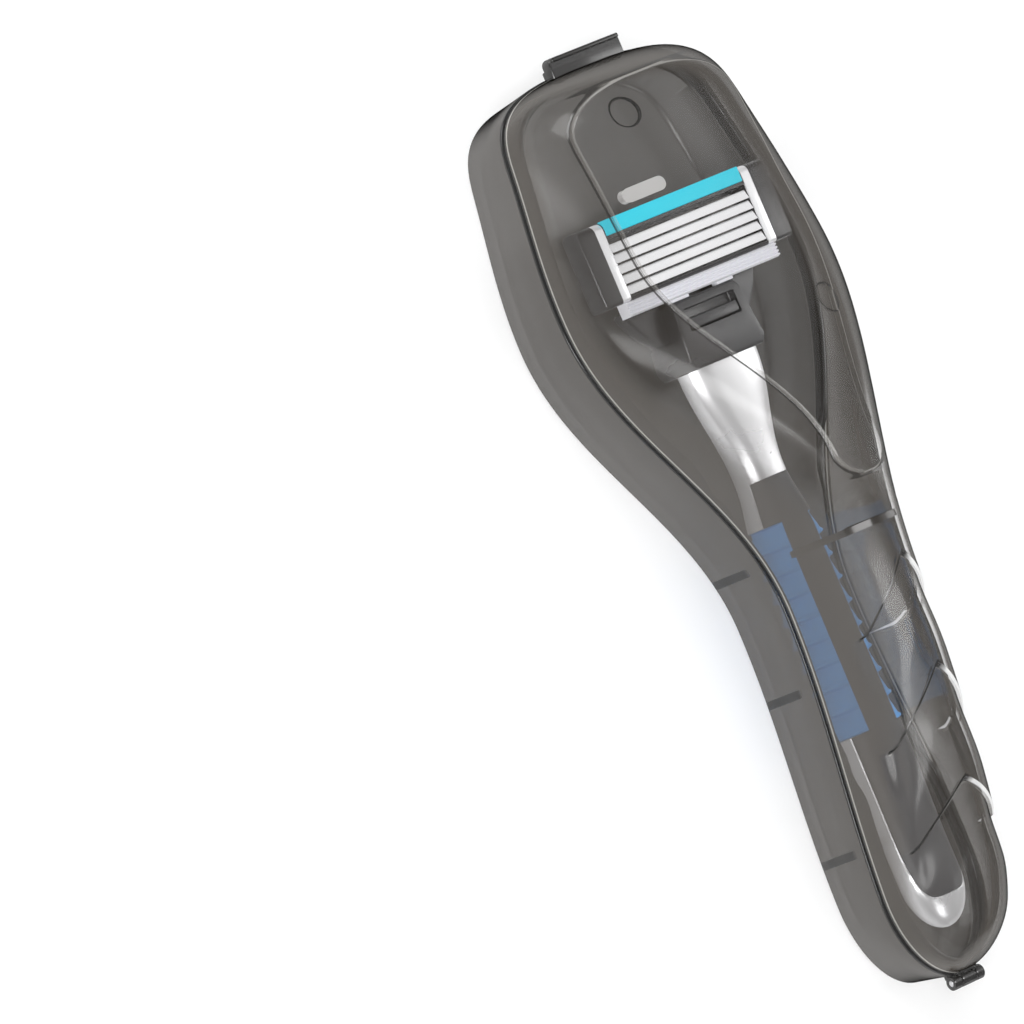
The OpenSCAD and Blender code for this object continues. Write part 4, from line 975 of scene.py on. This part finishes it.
def buildGrip(side):
    h, arc = handle, 12
    pitch = (h["gripTo"] - h["gripFrom"]) / h["ribCount"]
    # each rib climbs slowly towards the tail and drops at once
    profile = [(0.02, -0.6), (0.06, -1.0), (0.12, -1.0), (0.25, -0.8), (0.4, -0.5), (0.55, -0.25), (0.7, -0.02),
               (0.79, 0.2), (0.84, 0.75), (0.88, 1.0), (0.94, 1.0), (0.98, 0.4)]
    rings = [(h["gripFrom"] + 0.06, 0.0)]
    rings += [(h["gripFrom"] + 0.06 + pitch * (i + f) * 0.997, k * (h["ribHeight"] if k > 0 else h["groove"]))
              for i in range(h["ribCount"]) for f, k in profile]
    rings.append((h["gripTo"] - 0.06, 0.0))

    def place(row, column):
        t, bump = rings[min(max(row - 1, 0), len(rings) - 1)]
        edge = math.degrees(math.acos((gripX(t) / handleHalfWidth(t)) ** (h["fullness"] / 2)))
        if row in (0, len(rings) + 1):
            return side * (gripX(t) + handleHalfWidth(t)) / 2, atY(t), handleZ(t)
        if column > arc:
            column = 0
        a = mix(edge, -edge, column / arc)
        k = bump * min(1, 2.2 * math.sin(math.pi * column / arc))
        x = (handleHalfWidth(t) + k) * roundCos(a, h["fullness"])
        if column in (0, arc):
            x = gripX(t)
        return side * x, atY(t), handleZ(t) + (handleHalfThickness(t) + k) * roundSin(a, h["fullness"])
    bm = bmesh.new()
    gridMesh(bm, len(rings) + 1, arc + 1, place)
    return bm


piece("leftGrip", buildGrip(-1), "base", gripBlue, ["left_grip"], sharpAngle=50)
piece("rightGrip", buildGrip(1), "base", gripBlue, ["right_grip"], sharpAngle=50)
print("handle made")

# ---- cartridge, yoke and collar: places in millimetres
cartridge = {
    "width": 46.5, "length": 17.2, "thickness": 4.6, "at": 35.5, "faceZ": 20.5, "guardLength": 2.6,
    "endWall": 4.1, "clipGap": 0.2, "bladePitch": 1.95, "bladeThickness": 0.25, "clipWidth": 2.0,
    "clipThickness": 0.3, "stripWidth": 2.8, "journal": 3.0, "clear": 0.05, "gap": 0.3, "rounding": 1.4,
    "pivotIn": 3.8, "lugX": 8.7, "lugWidth": 3.0, "fingerWidth": 3.6, "fingerThickness": 2.0, "fingerDrop": 3.0,
    "plungerDrop": 2.2, "rinseWall": 1.4, "rinseCount": 4,
}
c = cartridge
cartY = atY(c["at"])
headY, guardY = cartY + c["length"] / 2, cartY - c["length"] / 2
tailY = guardY + c["guardLength"]
backZ = c["faceZ"] - c["thickness"]
pivotY = guardY + c["pivotIn"]
lugRadius, hubRadius = c["journal"] / 2 + 0.9, c["journal"] / 2 + 0.6
pivotZ = backZ - c["gap"] - hubRadius
lugX, lugEnd = c["lugX"], c["lugX"] + c["lugWidth"]
fingerWidth, fingerThickness = c["fingerWidth"], c["fingerThickness"]
pivotAt = (0, pivotY, pivotZ)
plungerZ = pivotZ - c["plungerDrop"]
plungerTipY = pivotY - fingerThickness / 2 - c["gap"]
windowLength = 5 * c["bladePitch"] + 0.9
windowHeadY = tailY + 0.7 + windowLength
windowTailY = windowHeadY - windowLength
stripY = windowHeadY + 0.6
clipX = c["width"] / 2 - c["endWall"] - c["clipWidth"]
bladeHalf = clipX - c["clipGap"]


def frameOutline(grow, steps=6):  # the frame's (y, z) section
    y0, y1, z0, z1 = tailY - grow, headY + grow, backZ - grow, c["faceZ"] + grow
    r = c["rounding"] + grow
    small = r / 2
    turns = [math.pi / 2 * i / steps for i in range(steps + 1)]
    return ([(y1 - r + r * math.sin(a), z1 - r + r * math.cos(a)) for a in turns]
            + [(y1 - r + r * math.cos(a), z0 + r - r * math.sin(a)) for a in turns]
            + [(y0 + small - small * math.sin(a), z0 + small - small * math.cos(a)) for a in turns]
            + [(y0 + small - small * math.cos(a), z1 - small + small * math.sin(a)) for a in turns])


bm = bmesh.new()
prism(bm, frameOutline(0), -c["width"] / 2, c["width"] / 2, rounding=0.35, segments=3)
cartridgePiece = piece("cartridgeFrame", bm, "cartridge", jetBlack, ["cartridge_frame"])
cutBox(cartridgePiece, (-clipX, windowTailY, backZ + 1.2), (clipX, windowHeadY, c["faceZ"] + 2))
cutBox(cartridgePiece, (-bladeHalf, stripY, c["faceZ"] - 1.2),
       (bladeHalf, stripY + c["stripWidth"] + 0.02, c["faceZ"] + 2))
bm = bmesh.new()
rinse = (2 * bladeHalf - (c["rinseCount"] - 1) * c["rinseWall"]) / c["rinseCount"]
for i in range(c["rinseCount"]):
    x = -bladeHalf + i * (rinse + c["rinseWall"])
    box(bm, (x, pivotY + lugRadius + 0.6, 0), (x + rinse, windowHeadY - 0.6, c["faceZ"]))
carve(cartridgePiece, bm)
for side in (-1, 1):
    x0, x1 = span(side, clipX, clipX + c["clipWidth"])
    bm = bmesh.new()
    prism(bm, frameOutline(1.0), x0 - 0.01, x1 + 0.01)
    carve(cartridgePiece, bm)
    bm = bmesh.new()
    prism(bm, frameOutline(-c["clipThickness"]), x0 - 0.02, x1 + 0.02)
    piece("clipSeat" + ("Left" if side < 0 else "Right"), bm, "cartridge", jetBlack, ["cartridge_frame"])

bm = bmesh.new()
for side in (-1, 1):
    x0, x1 = span(side, lugX, lugEnd)
    sleeve(bm, x0, x1, c["journal"] / 2 + c["clear"], lugRadius, pivotAt, chamfer=0.2)
    box(bm, (x0, pivotY - lugRadius, pivotZ + 1.7), (x1, pivotY + lugRadius, backZ + 0.4), 0.2)
box(bm, (-fingerWidth / 2, pivotY - fingerThickness / 2, pivotZ - c["fingerDrop"]),
    (fingerWidth / 2, pivotY + fingerThickness / 2, backZ + 0.3), 0.25)
piece("pivotLugs", bm, "cartridge", jetBlack, ["cartridge_frame"])

bm = bmesh.new()
box(bm, (-bladeHalf + 0.02, stripY + 0.02, c["faceZ"] - 1.18),
    (bladeHalf - 0.02, stripY + c["stripWidth"], c["faceZ"] + 0.14), 0.18, 4)
piece("lubricatingStrip", bm, "cartridge", stripTeal, ["lubricating_strip"])

blade = {"count": 5, "first": 0.35, "below": 0.1, "reach": 1.6, "drop": 0.55, "foot": 1.21}
for number in range(blade["count"]):
    y, z = windowTailY + blade["first"] + number * c["bladePitch"], c["faceZ"] - blade["below"]
    t, reach, drop, foot = c["bladeThickness"], blade["reach"], blade["drop"], backZ + blade["foot"]
    bm = bmesh.new()
    prism(bm, [(y, z - t * 0.25), (y + 0.06, z), (y + reach - 0.15, z - drop + 0.04),
               (y + reach, z - drop - 0.12), (y + reach, foot), (y + reach - t, foot),
               (y + reach - t, z - drop - 0.25), (y + 0.3, z - t - 0.06)], -bladeHalf, bladeHalf)
    piece("blade%d" % (number + 1), bm, "cartridge", bladeSteel, ["blade_%d" % (number + 1)], sharpAngle=25)

for side, label in ((-1, "left"), (1, "right")):
    x0, x1 = span(side, clipX, clipX + c["clipWidth"])
    bm = bmesh.new()
    prism(bm, frameOutline(0), x0, x1, rounding=0.08)
    clip = piece(label + "Clip", bm, "cartridge", clipBright, [label + "_clip"])
    bm = bmesh.new()
    prism(bm, frameOutline(-c["clipThickness"] + 0.005), x0 - 1, x1 + 1)
    carve(clip, bm)
    cutBox(clip, (x0 - 1, tailY + 2.4, backZ - 1), (x1 + 1, headY - 2.4, backZ + 1.3))

guard = {"width": 37.0, "fins": 4, "drop": 3.0, "footX": 5.5}
bm = bmesh.new()
finPitch, top = c["guardLength"] / guard["fins"], c["faceZ"] - 0.5
outline = [(tailY - 0.01, c["faceZ"] - guard["drop"]), (tailY - 0.01, top)]
for i in range(guard["fins"]):
    for share, lift in ((0.12, 0), (0.3, 0.4), (0.5, 0.5), (0.7, 0.4), (0.88, 0)):
        outline.append((tailY - 0.01 - finPitch * (i + share) * 0.98, top + lift))
outline += [(guardY + 0.01, top - 0.2), (guardY, c["faceZ"] - guard["drop"])]
prism(bm, outline, -guard["width"] / 2, guard["width"] / 2)
footZ = c["faceZ"] - guard["drop"]
for x in (-guard["footX"], guard["footX"]):
    box(bm, (x - 2, guardY - 0.5, footZ), (x + 2, guardY + 0.2, footZ + 1.6), 0.15)
piece("finnedGuard", bm, "cartridge", guardPale, ["finned_guard"])

# yoke: a hub with journals, and a plate with a lobe on each side
yoke = {"half": 17.5, "length": 8, "thickness": 3.2, "lobeDeep": 6, "underRod": 0.8}
rod = 1.2  # the plunger's radius
yokeFrontY = pivotY - lugRadius - c["gap"]
yokeBackY = yokeFrontY - yoke["length"]
yokeTopZ = backZ - c["gap"]
yokeLowZ = plungerZ - rod - yoke["underRod"]
hubHalf = lugX - c["gap"]
bm = bmesh.new()
lobeCurve = []
lobeEnd = math.sqrt(yoke["half"] ** 2 - yoke["lobeDeep"] ** 2)
for i in range(41):
    x = mix(-lobeEnd, lobeEnd, i / 40)
    deep = math.sqrt(max(0, yoke["half"] ** 2 - x * x)) - yoke["lobeDeep"]
    lobeCurve.append((x, max(yokeBackY, yokeFrontY - deep)))
lobeCurve = [p for p in lobeCurve if p[1] < yokeFrontY - 0.01]
lobeCurve += [(lobeEnd, yokeFrontY), (-lobeEnd, yokeFrontY)]
prism(bm, lobeCurve, yokeTopZ - yoke["thickness"], yokeTopZ, axis="z", rounding=0.5, segments=4)
box(bm, (-hubHalf, yokeBackY, yokeLowZ), (hubHalf, yokeFrontY - 1.4, yokeTopZ - 0.02), 0.3)
for side in (-1, 1):
    x0, x1 = span(side, fingerWidth / 2 + 0.4, hubHalf)
    box(bm, (x0, yokeFrontY - 2, pivotZ - hubRadius), (x1, pivotY, pivotZ + hubRadius), 0.15)
    drum(bm, x0, x1, hubRadius, pivotAt)
    drum(bm, *span(side, hubHalf, lugEnd), c["journal"] / 2, pivotAt)
piece("yoke", bm, "base", jetBlack, ["yoke"])

# collar with the recess for the button
collar = {"width": 18.6, "frontWidth": 16.0, "thickness": 10.0, "buttonWidth": 12.0, "buttonLength": 2.1,
          "travel": 1.5, "gap": 0.3, "buttonHeight": 1.5, "rodHead": 0.4}
k = collar
collarBackY, collarFrontY = atY(handle["neckAt"]) + 0.01, yokeFrontY - 1.6
collarTopZ = handleZ(handle["neckAt"]) + k["thickness"] / 2 - 0.6
collarLowZ = collarTopZ - k["thickness"]
buttonBackY = collarFrontY - 5.6
bm = bmesh.new()
w, f = k["width"] / 2, k["frontWidth"] / 2
prism(bm, [(-w + 1, collarBackY), (w - 1, collarBackY), (w, collarBackY + 1.6), (f, collarFrontY - 1),
           (f - 1, collarFrontY), (-f + 1, collarFrontY), (-f, collarFrontY - 1), (-w, collarBackY + 1.6)],
      collarLowZ, collarTopZ, axis="z", rounding=0.5, segments=4)
collarPiece = piece("neckCollar", bm, "base", jetBlack, ["neck_collar"])
cutBox(collarPiece, (-30, yokeBackY - 0.05, collarLowZ - 1), (30, yokeFrontY + 9, yokeTopZ + 0.05))
recessHalf, recessLength = k["buttonWidth"] / 2 + k["gap"], k["buttonLength"] + k["travel"] + 2 * k["gap"]
cutBox(collarPiece, (-recessHalf, buttonBackY - k["gap"], collarTopZ - k["buttonHeight"] - k["gap"]),
       (recessHalf, buttonBackY - k["gap"] + recessLength, collarTopZ + 2), 0.25)
bm = bmesh.new()
box(bm, (-k["buttonWidth"] / 2, buttonBackY, collarTopZ - k["buttonHeight"]),
    (k["buttonWidth"] / 2, buttonBackY + k["buttonLength"], collarTopZ), 0.3, 4)
piece("releaseButton", bm, "button", jetBlack, ["release_button"])

# plunger and its coil, inside
bm = bmesh.new()
for radius, length, middle in ((rod, plungerTipY - yokeBackY + 1, (plungerTipY + yokeBackY - 1) / 2),
                               (rod + k["rodHead"], 1, yokeBackY - 0.8)):
    made = bmesh.ops.create_cone(bm, cap_ends=True, segments=32, radius1=radius * mm, radius2=radius * mm,
                                 depth=length * mm)["verts"]
    bmesh.ops.rotate(bm, verts=made, matrix=Matrix.Rotation(math.pi / 2, 3, "X"))
    bmesh.ops.translate(bm, verts=made, vec=Vector((0, middle, plungerZ)) * mm)
piece("returnPlunger", bm, "plunger", plated, ["return_plunger"])
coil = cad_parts["plunger_spring"].data  # the CAD's own coil stays, with a finish
coil.materials.clear()
coil.materials.append(wire)
print("cartridge, yoke and collar made")

# ---- slot and dimples in the lid
d = details


def slotPrism(r):
    bm, reach = bmesh.new(), (d["slotLength"] - d["slotWidth"]) / 2
    turns = [math.pi * (i / 16 - 0.5) for i in range(17)]
    outline = [(d["slotX"] + side * (reach + r * math.cos(a)), atY(d["slotAt"]) + side * r * math.sin(a))
               for side in (1, -1) for a in turns]
    prism(bm, outline, rimZ(d["slotAt"]), 45, axis="z")
    return bm


# the lid's skin within the slot is kept as a pale see-through piece, then the slot is cut from the lid
bm = bmesh.new()
bm.from_mesh(lidPiece.data)
lens = piece("slotPaleFill", bm, "lid", paleSlotFill)
carve(lens, slotPrism(d["slotWidth"] / 2 - 0.08), sharpAngle=50, operation="INTERSECT")
carve(lidPiece, slotPrism(d["slotWidth"] / 2), sharpAngle=50)


def lidTop(x, t):
    inset, n = case["rimStep"], lid["fullness"]
    return rimZ(t) + case["rimGap"] + lid["panelStep"] + lidHeight(t, 0, inset) * (
        1 - (abs(x) / halfWidth(t, inset)) ** n) ** (1 / n)


def dimpleCutter(x, t):  # a shallow round dimple cut normal to the lid
    s, r = 0.5, d["dimple"] / 2
    slopeX = (lidTop(x + s, t) - lidTop(x - s, t)) / (2 * s)
    slopeY = (lidTop(x, t - s) - lidTop(x, t + s)) / (2 * s)
    normal = Vector((-slopeX, -slopeY, 1)).normalized()
    sag = lidTop(x, t) - (lidTop(x, t - r) + lidTop(x, t + r)) / 2
    bm = bmesh.new()
    made = bmesh.ops.create_cone(bm, cap_ends=True, segments=64, radius1=r * mm, radius2=r * mm,
                                 depth=6 * mm)["verts"]
    turnTo = normal.to_track_quat("Z", "Y").to_matrix()
    bmesh.ops.rotate(bm, verts=made, matrix=turnTo)
    deep = d["dimpleDepth"] + sag
    bmesh.ops.translate(bm, verts=made, vec=(Vector((x, atY(t), lidTop(x, t))) + normal * (3 - deep)) * mm)
    return bm


for x, t in d["dimples"]:
    carve(lidPiece, dimpleCutter(x, t), sharpAngle=50)
for obj in (lidPiece, basePiece):
    keepDistance(obj, "aboveRim", lambda x, t, z: z - rimZ(t))
keepDistance(lidPiece, "insidePanel", panelDistance)
keepDistance(lidPiece, "stepAway", lambda x, t, z: stepDistance(x, t, 0.2))
keepDistance(lidPiece, "stepGlint", lambda x, t, z: stepDistance(x, t, 0.8))
print("slot and dimples cut")

# ---- camera, floor and lights
view = {"turn": 22.9, "lean": 40.0, "lens": 500.0, "width": 177.5, "aim": (-43.8, 18.8, 0.0)}
lean, turn = math.radians(view["lean"]), math.radians(view["turn"])
across = Vector((math.cos(lean), 0, math.sin(lean)))
along = Vector((0, 1, 0))
back = Vector((-math.sin(lean), 0, math.cos(lean)))
right = across * math.cos(turn) - along * math.sin(turn)
up = across * math.sin(turn) + along * math.cos(turn)
camera = bpy.data.objects.new("camera", bpy.data.cameras.new("camera"))
camera.data.lens = view["lens"]
camera.data.clip_end = 100
distance = view["width"] * mm * view["lens"] / camera.data.sensor_width
camera.matrix_world = Matrix.Translation(Vector(view["aim"]) * mm + back * distance) @ Matrix(
    (right, up, back)).transposed().to_4x4()
scene.collection.objects.link(camera)
scene.camera = camera

floorMaterial = finish("paleFloor", None, (0.95, 0.95, 0.95), (0.93, 0.93, 0.93), 0.8, bump=0.0, specular=0.0)
bm = bmesh.new()
bmesh.ops.create_grid(bm, x_segments=1, y_segments=1, size=6)
floorMesh = bpy.data.meshes.new("floor")
bm.to_mesh(floorMesh)
bm.free()
floor = bpy.data.objects.new("floor", floorMesh)
floorMesh.materials.append(floorMaterial)
floor.location.z = -0.0002
scene.collection.objects.link(floor)
floor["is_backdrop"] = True

world = bpy.data.worlds.new("studio")
scene.world = world
world.use_nodes = True
background = world.node_tree.nodes["Background"]
background.inputs["Color"].default_value = (1, 1, 1, 1)
background.inputs["Strength"].default_value = 0.45

lamps = {
    "leftStrip": {"at": (-0.66, -0.05, 0.5), "size": (0.2, 0.8), "power": 4.4},
    "rightStrip": {"at": (0.75, 0.0, 0.26), "size": (0.1, 0.9), "power": 0.9},
    "headKey": {"at": (-0.25, 0.78, 0.62), "size": (0.5, 0.4), "power": 4.0},
    "tailFill": {"at": (0.1, -0.8, 0.7), "size": (0.5, 0.5), "power": 2.0},
    "top": {"at": (0.62, 0.05, 0.75), "size": (0.7, 0.9), "power": 1.4},
}
for name, lamp in lamps.items():
    light = bpy.data.lights.new(name, "AREA")
    light.shape, light.energy = "RECTANGLE", lamp["power"]
    light.size, light.size_y = lamp["size"]
    holder = bpy.data.objects.new(name, light)
    holder.location = lamp["at"]
    holder.rotation_euler = (-Vector(lamp["at"])).to_track_quat("-Z", "Y").to_euler()
    scene.collection.objects.link(holder)
scene.view_settings.view_transform = "Standard"
scene.cycles.transparent_max_bounces = 24
print("camera, floor and lights set")

low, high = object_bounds()
